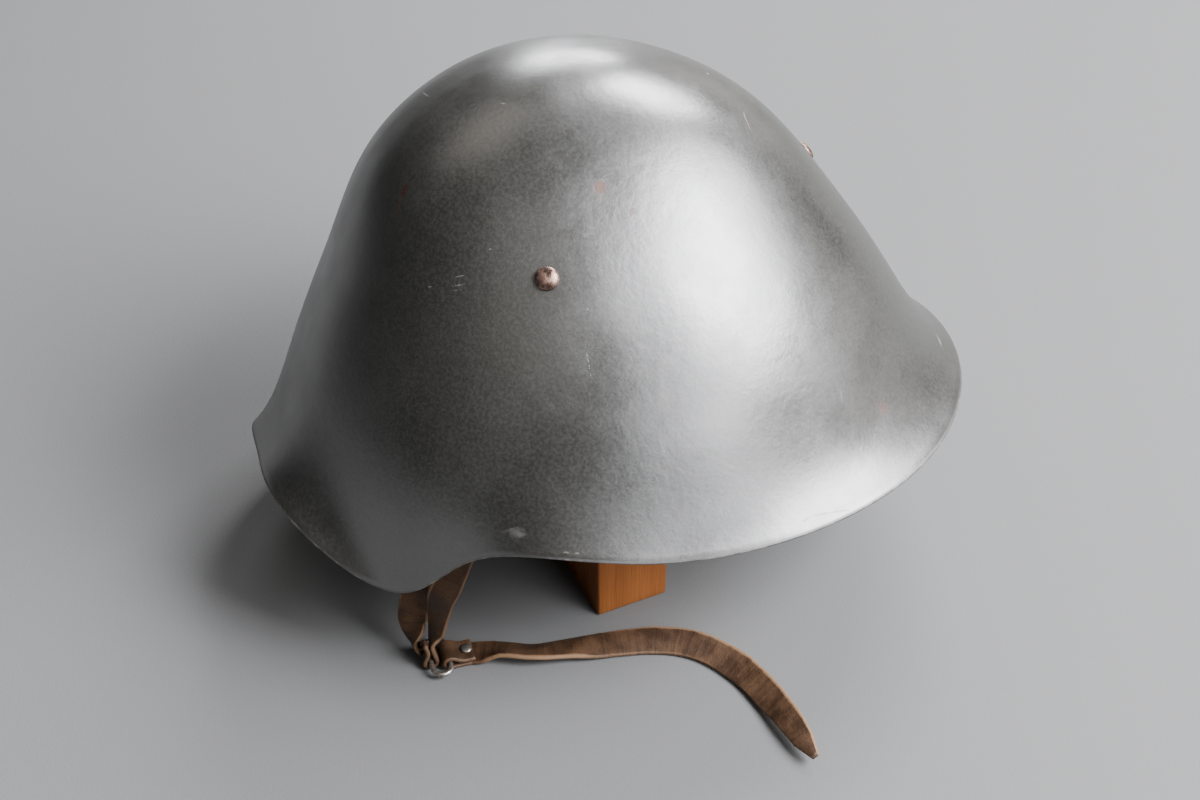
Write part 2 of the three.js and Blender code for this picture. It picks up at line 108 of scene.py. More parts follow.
# Clearances, rivets, band and studs
GAP = 0.35
CURVED_GAP = 0.95
RIVET_HEIGHT = 106.0
RIVETS = {"rivet_front_left": 72, "rivet_front_right": -72, "rivet_rear": 180}
RIVET_HEAD_RADIUS = 4.6
RIVET_HEAD_RISE = 2.3
RIVET_SHANK_RADIUS = 2.0
CLENCH_RADIUS = 3.6
CLENCH_RISE = 1.2
BAND_THICKNESS = 2.2
BAND_HEIGHT = 22.0
BAND_RADIUS = 80.0
BAND_OUTER_DEPTH = WALL + 0.5
BAND_INNER_DEPTH = BAND_OUTER_DEPTH + BAND_THICKNESS
STUD_HEAD_RADIUS = 2.4
STUD_HEAD_RISE = 1.1
STUD_SHANK_RADIUS = 1.1

# Straps and loops
STRAP_THICKNESS = 2.0
STRAP_WIDTH = 13.0
FLOOR_CLEARANCE = 0.25
WIRE_RADIUS = 1.1
BAR_LENGTH = 12.4
BAR_REACH = 3.8
EYE_RADIUS = WIRE_RADIUS + GAP + STRAP_THICKNESS / 2
EYE_LENGTH = 5.2
LOOP_HEIGHT = EYE_RADIUS + STRAP_THICKNESS / 2 + FLOOR_CLEARANCE
LEFT_LOOP = {"x": 78, "y": -96, "turn": 0}
RIGHT_LOOP = {"x": -34, "y": -70, "turn": 90}
LEG_END_WIDTH = 4.4
STUD_FROM_BAR = 7.8

# Each eye is folded round a loop's bar. Columns of rows: x, y, z, the way the width points, and the width
LEGS = (
    {
        "name": "left_front_leg", "azimuth": 28, "loop": LEFT_LOOP,
        "eye": {
            "bar": -1, "offset": -3.9, "rise": 60, "fold": 1, "width": LEG_END_WIDTH, "tail": 5.6, "run": 4.5},
        "rows": (
            (72.6, -105.2, 9.2, 12, 5.5),
            (70.1, -104.6, 13, 42, 10.5),
            (67, -103.9, 17.5, 58, 13),
            (64.9, -102.2, 24.5, 60, 13),
            (64.4, -101.4, 30, 60, 13),
            (56, -99.5, 48, 50, 13),
            (30, -99, 95, 28, 13),
        ),
    },
    {
        "name": "left_rear_leg", "azimuth": 60, "loop": LEFT_LOOP,
        "eye": {"bar": -1, "offset": 1, "rise": 80, "fold": -1, "width": LEG_END_WIDTH, "tail": 11, "run": 9},
        "rows": (
            (77.3, -96.2, 19.2, 25, 9.7),
            (76.6, -94.8, 27.4, 38, 11),
            (76.4, -93, 36, 48, 12.3),
            (76, -90, 43, 54, 13),
            (72, -82, 60, 58, 13),
            (62, -68, 102, 60, 13),
        ),
    },
    {
        "name": "right_front_leg", "azimuth": -28, "loop": RIGHT_LOOP,
        "eye": {"bar": 1, "offset": -3, "rise": 0, "fold": 1, "width": LEG_END_WIDTH, "tail": 14, "run": 10},
        "rows": (
            (-60, -75, 1.5, 94, 8),
            (-73, -80, 5, 104, 10),
            (-78, -86, 30, 125, 12),
            (-79, -89, 75, 142, 13),
        ),
    },
    {
        "name": "right_rear_leg", "azimuth": -60, "loop": RIGHT_LOOP,
        "eye": {"bar": 1, "offset": 3, "rise": 0, "fold": 1, "width": LEG_END_WIDTH, "tail": 14, "run": 10},
        "rows": (
            (-60, -65, 1.5, 88, 8),
            (-80, -61, 3, 92, 11),
            (-98, -57, 16, 100, 13),
            (-105, -54, 50, 112, 13),
        ),
    },
)

STRAP_EYE = {"bar": 1, "offset": 0, "rise": 0, "fold": 1, "width": 11.5, "tail": 10.5, "run": 10}
# Columns: x, y, z, the way the width points, its bank, and the width
FREE_STRAP = (
    (79.2, -78.3, 1.9, -6, 5, 12.2),
    (81.5, -70.9, 4, -12.8, 23, 12.6),
    (86.5, -58, 4.1, -14, 25, 13),
    (88.6, -40.6, 3.2, -15, 13, 13),
    (89.4, -29.9, 2.3, -16, -1, 13),
    (92.4, -9.4, 2.4, -18, -9.7, 13),
    (96.6, 2.2, 2.7, -27, -12.7, 13),
    (101.5, 9.3, 3.1, -40, -16, 13),
    (108.9, 16.2, 3.2, -52, -17, 13),
    (117.6, 21.5, 3.6, -61, -21, 13),
    (127.2, 25.2, 4.2, -67, -25, 12.6),
    (138.8, 28.4, 5.2, -73, -30, 12),
    (150.1, 30.8, 6.4, -76, -30, 11),
    (161.5, 32.8, 6.2, -79, -27, 9.2),
    (170.5, 34.6, 5.8, -80, -24, 3.4),
)

# Block: the bottom corner nearest the wearer's left front, and its sides
BLOCK_CORNER = (71.4, -25.7)
BLOCK_WIDTH = 32.0
BLOCK_DEPTH = 50.0
BLOCK_HEIGHT = 150.5
BLOCK_TURN = 9.0

# Camera, in the floor's frame: the photograph's viewing angle
CAMERA_PLACE = (604.6, -176.6, 614.5)
CAMERA_RIGHT = (0.2737, 0.9618, 0.0)
CAMERA_FORWARD = (-0.7193, 0.2046, -0.6639)
LENS = 58.17
SENSOR = 36.0

# The height that the lights are aimed at, in metres
LIGHT_AIM_HEIGHT = 0.12


# Curves and surfaces

def spline(rows, column, flat_end):
    """A cubic spline through a table's rows, flat at its start, and flat or free at its end."""
    x = np.array([row[0] for row in rows], float)
    y = np.array([row[column] for row in rows], float)
    last = len(x) - 1
    h = np.diff(x)
    slope = np.diff(y) / h
    matrix = np.zeros((last + 1, last + 1))
    right = np.zeros(last + 1)
    for i in range(last + 1):
        before = h[i - 1] if i else 0.0
        after = h[i] if i < last else 0.0
        matrix[i, i] = 2 * (before + after)
        if i:
            matrix[i, i - 1] = before
        if i < last:
            matrix[i, i + 1] = after
        right[i] = 6 * ((slope[i] if i < last else 0.0) - (slope[i - 1] if i else 0.0))
    if not flat_end:
        matrix[last, last - 1] = 0.0
        right[last] = 0.0
    bend = np.linalg.solve(matrix, right)
    sign = np.sign(h[0])

    def value(at):
        at = np.asarray(at, float)
        i = np.clip(np.searchsorted(x * sign, at * sign, side="right") - 1, 0, last - 1)
        a = (x[i + 1] - at) / h[i]
        b = (at - x[i]) / h[i]
        curve = ((a**3 - a) * bend[i] + (b**3 - b) * bend[i + 1]) * h[i] ** 2 / 6
        return a * y[i] + b * y[i + 1] + curve

    return value


front_profile = spline(PROFILES, 1, False)
rear_profile = spline(PROFILES, 2, False)
side_profile = spline(PROFILES, 3, False)
rim_height = spline(RIM, 1, True)
rim_flare = spline(RIM, 2, True)


def bisect(rising, target, low, high, count):
    """The values between low and high at which a rising function passes the target."""
    bottom = np.full(count, float(low))
    top = np.full(count, float(high))
    for _ in range(40):
        middle = (bottom + top) / 2
        below = rising(middle) < target
        bottom = np.where(below, middle, bottom)
        top = np.where(below, top, middle)
    return (bottom + top) / 2


def wall_radius(azimuth, angle):
    """The wall's distance from the dome's centre: a squarish oval between the profiles."""
    ahead = np.cos(np.radians(azimuth))
    across = np.abs(np.sin(np.radians(azimuth)))
    lengthwise = np.where(ahead > 0, front_profile(angle), rear_profile(angle))
    roundness = np.where(angle > 0, np.cos(np.radians(angle)) ** 2, 1.0)
    power = 2 + (SQUARENESS - 2) * roundness
    return ((np.abs(ahead) / lengthwise) ** power + (across / side_profile(angle)) ** power) ** (-1 / power)


def mirrored(azimuth):
    """The azimuth on the left half that a place on either half has."""
    turned = np.mod(azimuth, 360)
    return np.where(turned > 180, 360 - turned, turned)


def rim_angle(azimuth):
    """The angle above level, seen from the dome's centre, at which the wall ends."""
    def height(angle):
        return CENTRE_Z + wall_radius(azimuth, angle) * np.sin(np.radians(angle))
    return bisect(height, rim_height(mirrored(azimuth)), -60, 0, np.shape(azimuth))


def outer_point(azimuth, part, rim=None):
    """Points of the shell's outer face: part is 0 at the crown and 1 at the rim."""
    azimuth = np.asarray(azimuth, float)
    rim = rim_angle(azimuth) if rim is None else rim
    azimuth, part, rim = np.broadcast_arrays(azimuth, np.asarray(part, float), rim)
    angle = 90 + (rim - 90) * part**ROW_CROWDING
    radius = wall_radius(azimuth, angle)
    from_rim = radius * np.radians(angle - rim)
    flare = rim_flare(mirrored(azimuth)) * np.exp(-from_rim / FLARE_REACH)
    reach = radius * np.cos(np.radians(angle)) + flare
    x = reach * np.sin(np.radians(azimuth))
    y = -DOME_FORWARD - reach * np.cos(np.radians(azimuth))
    return np.stack([x, y, CENTRE_Z + radius * np.sin(np.radians(angle))], -1)


def unit(vectors):
    return vectors / np.maximum(np.linalg.norm(vectors, axis=-1, keepdims=True), 1e-12)


def outer_normal(azimuth, part):
    """The way that the outer face looks."""
    step = 0.01
    part = np.asarray(part, float)
    round_way = outer_point(azimuth + 0.5, part) - outer_point(azimuth - 0.5, part)
    down = outer_point(azimuth, np.minimum(1, part + step)) - outer_point(azimuth, np.maximum(0, part - step))
    return unit(np.cross(down, round_way))


def part_at_height(azimuth, height):
    """How far down the wall, from crown to rim, it passes a height."""
    rim = rim_angle(azimuth)

    def drop(part):
        return -outer_point(azimuth, part, rim)[..., 2]
    return bisect(drop, -height, 0, 1, azimuth.shape)


def on_wall(azimuth, height):
    """One point of the outer face, and the way it looks."""
    at = np.array([float(azimuth)])
    part = part_at_height(at, height)
    return outer_point(at, part)[0], outer_normal(at, part)[0]


# The helmet's pose, and the shift that puts the solids' origin under the middle of the footprint

TILT = np.array(Matrix.Rotation(math.radians(PITCH), 3, "X") @ Matrix.Rotation(math.radians(-ROLL), 3, "Y"))


def find_lift():
    """How far the tilted shell is raised, so that its lowest rim point stands on the floor."""
    azimuth = np.linspace(-180, 180, 721)
    rim = outer_point(azimuth, 1.0)
    inner = rim - outer_normal(azimuth, 1.0) * WALL
    return -min((rim @ TILT.T)[:, 2].min(), (inner @ TILT.T)[:, 2].min())


LIFT = find_lift()


def block_corners():
    """The block's near corner, and the directions of its length and its width."""
    turn = math.radians(BLOCK_TURN)
    along = np.array([math.cos(turn), math.sin(turn), 0.0])
    across = np.array([-math.sin(turn), math.cos(turn), 0.0])
    corner = np.array([BLOCK_CORNER[0], BLOCK_CORNER[1], 0.0])
    return corner, along, across


def find_shift():
    """From the floor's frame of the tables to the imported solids' frame, by the block."""
    corner, along, across = block_corners()
    corners = [corner - along * a + across * b for a in (0, BLOCK_DEPTH) for b in (0, BLOCK_WIDTH)]
    lowest = np.min(corners, axis=0)
    packed = np.array(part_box("stand_block")[0]) / MM
    return np.array([packed[0] - lowest[0], packed[1] - lowest[1], 0.0])


SHIFT = find_shift()


def on_floor(points):
    """From the helmet's own frame to the floor's frame."""
    return np.asarray(points) @ TILT.T + np.array([0, 0, LIFT])


# Meshes

def make_piece(name, points, faces, replaced, finish, attributes=None):
    """A smooth mesh from points in the floor's frame, riding on the helmet's one body."""
    mesh = bpy.data.meshes.new(name)
    vertices = (np.asarray(points, float) + SHIFT) * MM
    mesh.from_pydata(vertices.tolist(), [], faces)
    for key, values in (attributes or {}).items():
        layer = mesh.attributes.new(key, "FLOAT", "POINT")
        layer.data.foreach_set("value", np.asarray(values, np.float32))
    mesh.validate()
    mesh.shade_smooth()
    piece = bpy.data.objects.new(name, mesh)
    bpy.context.scene.collection.objects.link(piece)
    mesh.materials.append(finish)
    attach(piece, BODY)
    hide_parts(*replaced)
    return piece


def ring_faces(rings, count, closed=False):
    """Quads between neighbouring rings of points."""
    faces = []
    spans = rings if closed else rings - 1
    for i in range(spans):
        here = i * count
        there = (i + 1) % rings * count
        for j in range(count):
            k = (j + 1) % count
            faces.append((here + j, here + k, there + k, there + j))
    return faces


def ring_caps(rings, count):
    """The two end faces of a run of rings."""
    last = (rings - 1) * count
    return [tuple(range(count))[::-1], tuple(range(last, last + count))]


def closed_tube(rings, count):
    """Faces of a run of rings that is closed at each end by one more point."""
    faces = [tuple(reversed(face)) for face in ring_faces(rings, count)]
    top = rings * count
    for j in range(count):
        k = (j + 1) % count
        faces += [(top, j, k), (top + 1, top - count + k, top - count + j)]
    return faces


def lathe(profile, place, axis, segments):
    """Points and faces of a turned piece: profile columns are the radius and the height along the axis."""
    axis = unit(np.asarray(axis, float))
    helper = np.array([1.0, 0, 0]) if abs(axis[0]) < 0.8 else np.array([0, 1.0, 0])
    side = unit(np.cross(axis, helper))
    turn = np.linspace(0, 2 * math.pi, segments, endpoint=False)
    circle = np.outer(np.cos(turn), side) + np.outer(np.sin(turn), np.cross(axis, side))
    rings = [place + circle * radius + axis * height for radius, height in profile]
    ends = [(place + axis * profile[row][1])[None] for row in (0, -1)]
    return np.concatenate(rings + ends), closed_tube(len(profile), segments)


def rivet_profile(head_radius, head_rise, shank_radius, grip, clench_radius=0.0, clench_rise=0.0):
    """A low dome with a small rolled edge, a shank, and a clenched end."""
    steps = 12
    edge = 0.12 * head_rise
    rows = []
    for i in range(1, steps + 1):
        angle = 0.5 * math.pi * i / steps
        rows.append((head_radius * math.sin(angle), edge + (head_rise - edge) * math.cos(angle)))
    rows += [
        (head_radius * 0.985, edge * 0.3), (head_radius * 0.95, 0.0),
        (shank_radius, 0.0), (shank_radius, -grip)]
    if clench_radius:
        rows += [
            (clench_radius * 0.95, -grip), (clench_radius, -grip - 0.3 * clench_rise),
            (clench_radius * 0.7, -grip - clench_rise), (clench_radius * 0.2, -grip - clench_rise)]
    return rows


# Strap runs

def flat_direction(turn, bank=0.0):
    """A direction turned from the right-hand side and banked upwards, in degrees."""
    turn = math.radians(turn)
    bank = math.radians(bank)
    return np.array([math.cos(turn) * math.cos(bank), math.sin(turn) * math.cos(bank), math.sin(bank)])


def curve_through(places):
    """A centripetal Catmull-Rom curve: gives the point and the direction at any station."""
    places = np.asarray(places, float)
    last = len(places) - 1

    def at(station):
        i = min(int(station), last - 1)
        w = station - i
        p1, p2 = places[i], places[i + 1]
        p0 = places[i - 1] if i else 2 * p1 - p2
        p3 = places[i + 2] if i + 2 <= last else 2 * p2 - p1
        d0, d1, d2 = (np.sum((b - a) ** 2) ** 0.25 for a, b in ((p0, p1), (p1, p2), (p2, p3)))
        t1 = ((p1 - p0) / d0 - (p2 - p0) / (d0 + d1) + (p2 - p1) / d1) * d1
        t2 = ((p2 - p1) / d1 - (p3 - p1) / (d1 + d2) + (p3 - p2) / d2) * d1
        c2 = 3 * (p2 - p1) - 2 * t1 - t2
        c3 = 2 * (p1 - p2) + t1 + t2
        point = p1 + w * (t1 + w * (c2 + w * c3))
        direction = unit(t1 + w * (2 * c2 + 3 * w * c3))
        return point, direction

    return at


def eye_rows(loop, eye):
    """A strap's end folded round one bar of a loop, from the tail to the main run."""
    bar_axis = flat_direction(loop["turn"])
    outward = flat_direction(loop["turn"] + 90) * eye["bar"]
    centre = np.array([loop["x"], loop["y"], LOOP_HEIGHT]) + outward * BAR_REACH + bar_axis * eye["offset"]
    up = np.array([0, 0, 1.0])
    rise = math.radians(eye["rise"])
    run = outward * math.cos(rise) + up * math.sin(rise)
    over = (up * math.cos(rise) - outward * math.sin(rise)) * eye["fold"]

    def row(p, q):
        return centre + run * p + over * q, bar_axis, eye["width"]

    ply = -EYE_RADIUS + STRAP_THICKNESS + GAP
    rows = [row(eye["tail"], ply), row(EYE_LENGTH, ply)]
    for angle in range(120, -91, -30):
        turn = math.radians(angle)
        rows.append(row(-EYE_RADIUS * math.cos(turn), EYE_RADIUS * math.sin(turn)))
    rows.append(row(eye["run"], -EYE_RADIUS))
    return rows


def table_rows(rows):
    """A table's rows as places, the ways that the width points, and widths."""
    return [(np.array(row[:3], float), flat_direction(*row[3:-1]), row[-1]) for row in rows]


def band_rows(azimuth):
    """A leg's upper end, lying on the band's inner face below its stud."""
    depth = BAND_INNER_DEPTH + CURVED_GAP + STRAP_THICKNESS / 2
    rows = []
    for share in (-0.42, 0, 0.4):
        place, normal = on_wall(azimuth, RIVET_HEIGHT + share * BAND_HEIGHT)
        wide = unit(np.cross([0, 0, 1.0], normal)) * math.copysign(1, azimuth)
        rows.append((on_floor(place - normal * depth), TILT @ wide, STRAP_WIDTH))
    return rows


def strap_section(half, flat, reach, cup, ragged):
    """A strap's section. Columns: across, up, how near the edge, and the side of the middle."""
    across = np.linspace(-1, 1, 9)
    corner = np.radians((60, 30, 0, -30, -60))
    section = [(a * flat, half - cup * a * a, abs(a) * flat / reach, a) for a in across]
    section += [
        (flat + ragged[1] + (reach - flat) * math.cos(turn), half * math.sin(turn) - cup * 0.6, 1.0, 1.0)
        for turn in corner]
    section += [(a * flat, -half - cup * 0.25 * a * a, abs(a) * flat / reach, a) for a in across[::-1]]
    section += [
        (-flat - ragged[0] - (reach - flat) * math.cos(turn), half * math.sin(turn) - cup * 0.6, 1.0, -1.0)
        for turn in corner[::-1]]
    return section


def strap_mesh(rows, edge_round, step, cup, wave):
    """Points, faces and attributes of a leather strap: cup bows its section, and wave frays its edges."""
    curve = curve_through([row[0] for row in rows])
    stations = []
    for i in range(len(rows) - 1):
        steps = max(1, round(float(np.linalg.norm(rows[i + 1][0] - rows[i][0])) / step))
        stations += [i + j / steps for j in range(steps)]
    stations.append(len(rows) - 1)
    points, edges, heights, runs = [], [], [], []
    travelled, before = 0.0, None
    for station in stations:
        i = min(int(station), len(rows) - 2)
        part = station - i
        at, tangent = curve(station)
        travelled += 0.0 if before is None else float(np.linalg.norm(at - before))
        before = at
        wide = rows[i][1] * (1 - part) + rows[i + 1][1] * part
        wide = unit(wide - tangent * np.dot(wide, tangent))
        thick = np.cross(wide, tangent)
        reach = (rows[i][2] * (1 - part) + rows[i + 1][2] * part) / 2
        flat = max(reach - edge_round, reach * 0.4)
        ragged = [noise.noise(Vector((travelled * 0.11, s * 7.3, rows[0][0][0]))) * wave for s in (-1, 1)]
        section = strap_section(STRAP_THICKNESS / 2, flat, reach, cup, ragged)
        for a, b, edge, side in section:
            points.append(at + wide * a + thick * b)
            edges.append(edge)
            heights.append(side * wide[2])
            runs.append(travelled * MM)
    faces = ring_faces(len(stations), len(section)) + ring_caps(len(stations), len(section))
    return np.array(points), faces, {"edge": edges, "raised": heights, "run": runs}


# Shader maths

class Wire:
    """A shader socket that is added, taken away and multiplied like a number."""

    def __init__(self, finish, socket):
        self.finish = finish
        self.socket = socket

    def __add__(self, other):
        return self.finish.maths("ADD", self, other)

    def __sub__(self, other):
        return self.finish.maths("SUBTRACT", self, other)

    def __rsub__(self, other):
        return self.finish.maths("SUBTRACT", other, self)

    def __mul__(self, other):
        return self.finish.maths("MULTIPLY", self, other)

    __radd__ = __add__
    __rmul__ = __mul__


class Finish:
    """One material's nodes, made around a Principled shader."""

    def __init__(self, name, **constants):
        self.material = bpy.data.materials.new(name)
        self.material.use_nodes = True
        self.tree = self.material.node_tree
        self.tree.nodes.clear()
        output = self.tree.nodes.new("ShaderNodeOutputMaterial")
        self.shader = self.tree.nodes.new("ShaderNodeBsdfPrincipled")
        self.tree.links.new(self.shader.outputs["BSDF"], output.inputs["Surface"])
        for key, value in constants.items():
            self.shader.inputs[key.replace("_", " ")].default_value = value
        self.place = self.node("ShaderNodeTexCoord", {}, {}, "Object")

    def node(self, kind, settings, inputs, output=0):
        """Adds a node: its settings first, then the values or wires of its sockets."""
        made = self.tree.nodes.new(kind)
        for key, value in settings.items():
            setattr(made, key, value)
        for key, value in inputs.items():
            if isinstance(value, Wire):
                self.tree.links.new(value.socket, made.inputs[key])
            else:
                made.inputs[key].default_value = value
        return Wire(self, made.outputs[output])

    def maths(self, operation, *values):
        return self.node("ShaderNodeMath", {"operation": operation}, dict(enumerate(values)))

    def vectors(self, operation, *values, output=0):
        return self.node("ShaderNodeVectorMath", {"operation": operation}, dict(enumerate(values)), output)

    def mix(self, share, a, b):
        """A colour from a to b. Sockets 0, 6 and 7 are the factor and the two colours."""
        a, b = (colour if isinstance(colour, Wire) else (*colour, 1.0) for colour in (a, b))
        return self.node("ShaderNodeMix", {"data_type": "RGBA"}, {0: share, 6: a, 7: b}, 2)

    def noise(
            self, scale, detail=3.0, roughness=0.5, stretch=(1, 1, 1), turn=(0, 0, 0), distortion=0.0,
            place=None):
        """Cloudy noise, at the object's coordinates or at a place of its own."""
        moved = self.node(
            "ShaderNodeMapping", {}, {"Vector": place or self.place, "Scale": stretch, "Rotation": turn})
        inputs = {"Vector": moved, "Scale": scale, "Detail": detail}
        inputs.update({"Roughness": roughness, "Distortion": distortion})
        return self.node("ShaderNodeTexNoise", {}, inputs)

    def warped(self, scale, amount):
        """The object's coordinates, pushed about by up to half the amount."""
        inputs = {"Vector": self.place, "Scale": scale, "Detail": 2.0}
        push = self.node("ShaderNodeTexNoise", {}, inputs, "Color")
        centred = self.vectors("SUBTRACT", push, (0.5, 0.5, 0.5))
        inputs = {"Vector": centred, "Scale": amount}
        scaled = self.node("ShaderNodeVectorMath", {"operation": "SCALE"}, inputs)
        return self.vectors("ADD", self.place, scaled)

    def cells(self, scale, place=None):
        inputs = {"Vector": place or self.place, "Scale": scale}
        return self.node("ShaderNodeTexVoronoi", {}, inputs, "Distance")

    def between(self, value, low, high, start=0.0, end=1.0):
        """Start below low, end above high, and smooth in between."""
        return self.node(
            "ShaderNodeMapRange", {"interpolation_type": "SMOOTHSTEP"},
            {"Value": value, "From Min": low, "From Max": high, "To Min": start, "To Max": end})

    def attribute(self, name):
        return self.node("ShaderNodeAttribute", {"attribute_name": name}, {}, "Fac")

    def wear(self, name, value):
        """Feeds one of the shader's sockets."""
        self.tree.links.new(value.socket, self.shader.inputs[name])

    def bump(self, height, distance, under=None):
        inputs = {"Height": height, "Distance": distance, "Strength": 1.0}
        if under is not None:
            inputs["Normal"] = under
        return self.node("ShaderNodeBump", {}, inputs)


# Marks on the paint, seen in the photograph.
# Columns of spots: azimuth, height, width across, height up, and strength, in degrees and millimetres
RUST_SPOTS = (
    (28.9, 134, 1.1, 2.6, 1.0),
    (28.9, 129, 0.8, 4.5, 0.45),
    (89, 132.4, 2.6, 2.4, 0.7),
    (135, 28, 3.0, 2.4, 0.45),
    (96, 123, 1.6, 1.2, 0.4),
)

# The faded thread of rust. Columns: azimuth and height of one end, then of the other, half the width, strength
RUST_THREAD = (
    (89.6, 130.2, 88.0, 127.0, 0.5, 0.4),
    (88.0, 127.0, 87.4, 122.0, 0.5, 0.35),
    (87.4, 122.0, 87.6, 116.5, 0.5, 0.32),
    (87.6, 116.5, 87.4, 112.0, 0.45, 0.25),
)

# Columns of scratches: azimuth and height of one end, then of the other, half the width, and strength
PALE_SCRATCHES = (
    (50.3, 108.0, 53.1, 108.8, 0.24, 0.5),
    (49.8, 104.9, 53.6, 106.0, 0.25, 0.45),
    (50.2, 103.5, 52.5, 104.3, 0.22, 0.4),
    (44.0, 104.4, 45.3, 104.5, 0.3, 0.5),
    (52.6, 160.5, 55.4, 160.4, 0.35, 0.6),
    (134.4, 150.5, 128.4, 138.0, 0.16, 0.45),
    (88.0, 88.0, 93.1, 90.8, 0.16, 0.35),
    (102.9, 79.9, 109.5, 62.1, 0.14, 0.4),
    (106.5, 72.8, 107.0, 55.2, 0.13, 0.35),
    (58.2, 117.3, 58.8, 116.9, 0.45, 0.6),
    (70.9, 10.6, 72.0, 10.4, 0.35, 0.5),
    (72.8, 9.9, 73.7, 9.7, 0.35, 0.4),
    (111.2, 3.1, 113.2, 4.2, 0.24, 0.8),
    (113.2, 4.2, 116.6, 3.3, 0.24, 0.8),
    (116.6, 3.3, 119.0, 2.3, 0.24, 0.8),
    (164.8, 151.7, 165.8, 151.3, 0.7, 1.0),
    (122.2, 129.3, 119.9, 120.4, 0.13, 0.35),
    (119.9, 120.4, 115.6, 113.8, 0.13, 0.35),
    (109.1, 94.0, 112.9, 76.3, 0.14, 0.35),
    (97.8, 105.3, 101.7, 108.2, 0.14, 0.3),
)

# Dull scuffs, in the same columns
SCUFFS = (
    (60.4, 17.4, 65.4, 19.0, 2.4, 0.55),
    (61.6, 19.6, 64.0, 19.0, 1.0, 0.6),
    (82.0, 120.0, 85.0, 115.0, 3.0, 0.14),
    (103.6, 118.0, 110.0, 122.0, 4.0, 0.12),
    (96.0, 78.0, 92.0, 28.0, 6.5, 0.16),
)

# Dark scratches, in the same columns
DARK_SCRATCHES = (
    (116.6, 163.3, 116.0, 161.8, 0.2, 0.7),
    (122.9, 131.2, 119.3, 127.5, 0.2, 0.7),
    (80.2, 94.2, 81.0, 94.6, 0.4, 0.7),
    (108.6, 14.0, 109.4, 14.6, 0.35, 0.7),
    (115.6, 16.0, 116.4, 16.6, 0.35, 0.6),
    (110.7, 77.4, 106.9, 62.3, 0.14, 0.5),
    (78.9, 84.4, 79.2, 69.6, 0.13, 0.45),
    (124.0, 140.6, 121.7, 133.0, 0.12, 0.4),
    (87.2, 53.7, 90.3, 45.1, 0.12, 0.35),
)


def on_shell(azimuth, height):
    """A place on the shell's outer face in the row frame, in metres."""
    return tuple((on_floor(on_wall(azimuth, height)[0]) + SHIFT) * MM)


def stroke(finish, place, ends, half_width, strength):
    """A straight mark between two places: a mask that is strength on it and 0 off it."""
    a, b = (Vector(end) for end in ends)
    middle = (a + b) / 2
    half = max((b - a).length / 2, half_width * MM)
    direction = (b - a).normalized() if (b - a).length > 1e-6 else Vector((0, 0, 1))
    offset = finish.vectors("SUBTRACT", place, tuple(middle))
    along = finish.vectors("DOT_PRODUCT", offset, tuple(direction), output="Value")
    length = finish.vectors("LENGTH", offset, output="Value")
    across = length * length - along * along
    inside = along * along * (1 / half**2) + across * (1 / (half_width * MM) ** 2)
    return finish.between(inside, 0.45, 1.25, strength, 0.0)


def strongest(finish, masks):
    """The greatest of some masks."""
    mask = masks[0]
    for other in masks[1:]:
        mask = finish.maths("MAXIMUM", mask, other)
    return mask


def scratches(finish, place, rows):
    """The mask of a table of marks, each between two places on the shell."""
    return strongest(finish, [
        stroke(finish, place, (on_shell(a, b), on_shell(c, d)), half_width, strength)
        for a, b, c, d, half_width, strength in rows])


def rust_mask(paint, ragged):
    """The photograph's rust spots and faded thread, and faint flecks elsewhere."""
    spots = [
        stroke(paint, ragged, (on_shell(a, b - up), on_shell(a, b + up)), across, strength)
        for a, b, across, up, strength in RUST_SPOTS]
    chance = paint.between(paint.noise(26, 2.0), 0.56, 0.66)
    flecks = paint.between(paint.cells(85.0, ragged), 0.05, 0.085, 1.0, 0.0) * chance
    return strongest(paint, [*spots, scratches(paint, ragged, RUST_THREAD), flecks * 0.2])


def hair_mask(paint):
    """Hair scratches in three directions, each only in patches."""
    hairs = []
    for index, (turn, seed) in enumerate(((0.5, 3.1), (-0.9, 8.7), (1.4, 14.2))):
        bent = paint.warped(16.0 + 5 * index, 0.016)
        streak = paint.noise(30, 1.0, 0.4, (1.0, 20.0, 1.6), (turn, turn * 0.7, seed), 0.2, bent)
        patch = paint.between(paint.noise(17 + seed, 2.0), 0.58, 0.7)
        hairs.append(paint.between(streak, 0.755, 0.775) * patch)
    return strongest(paint, hairs)


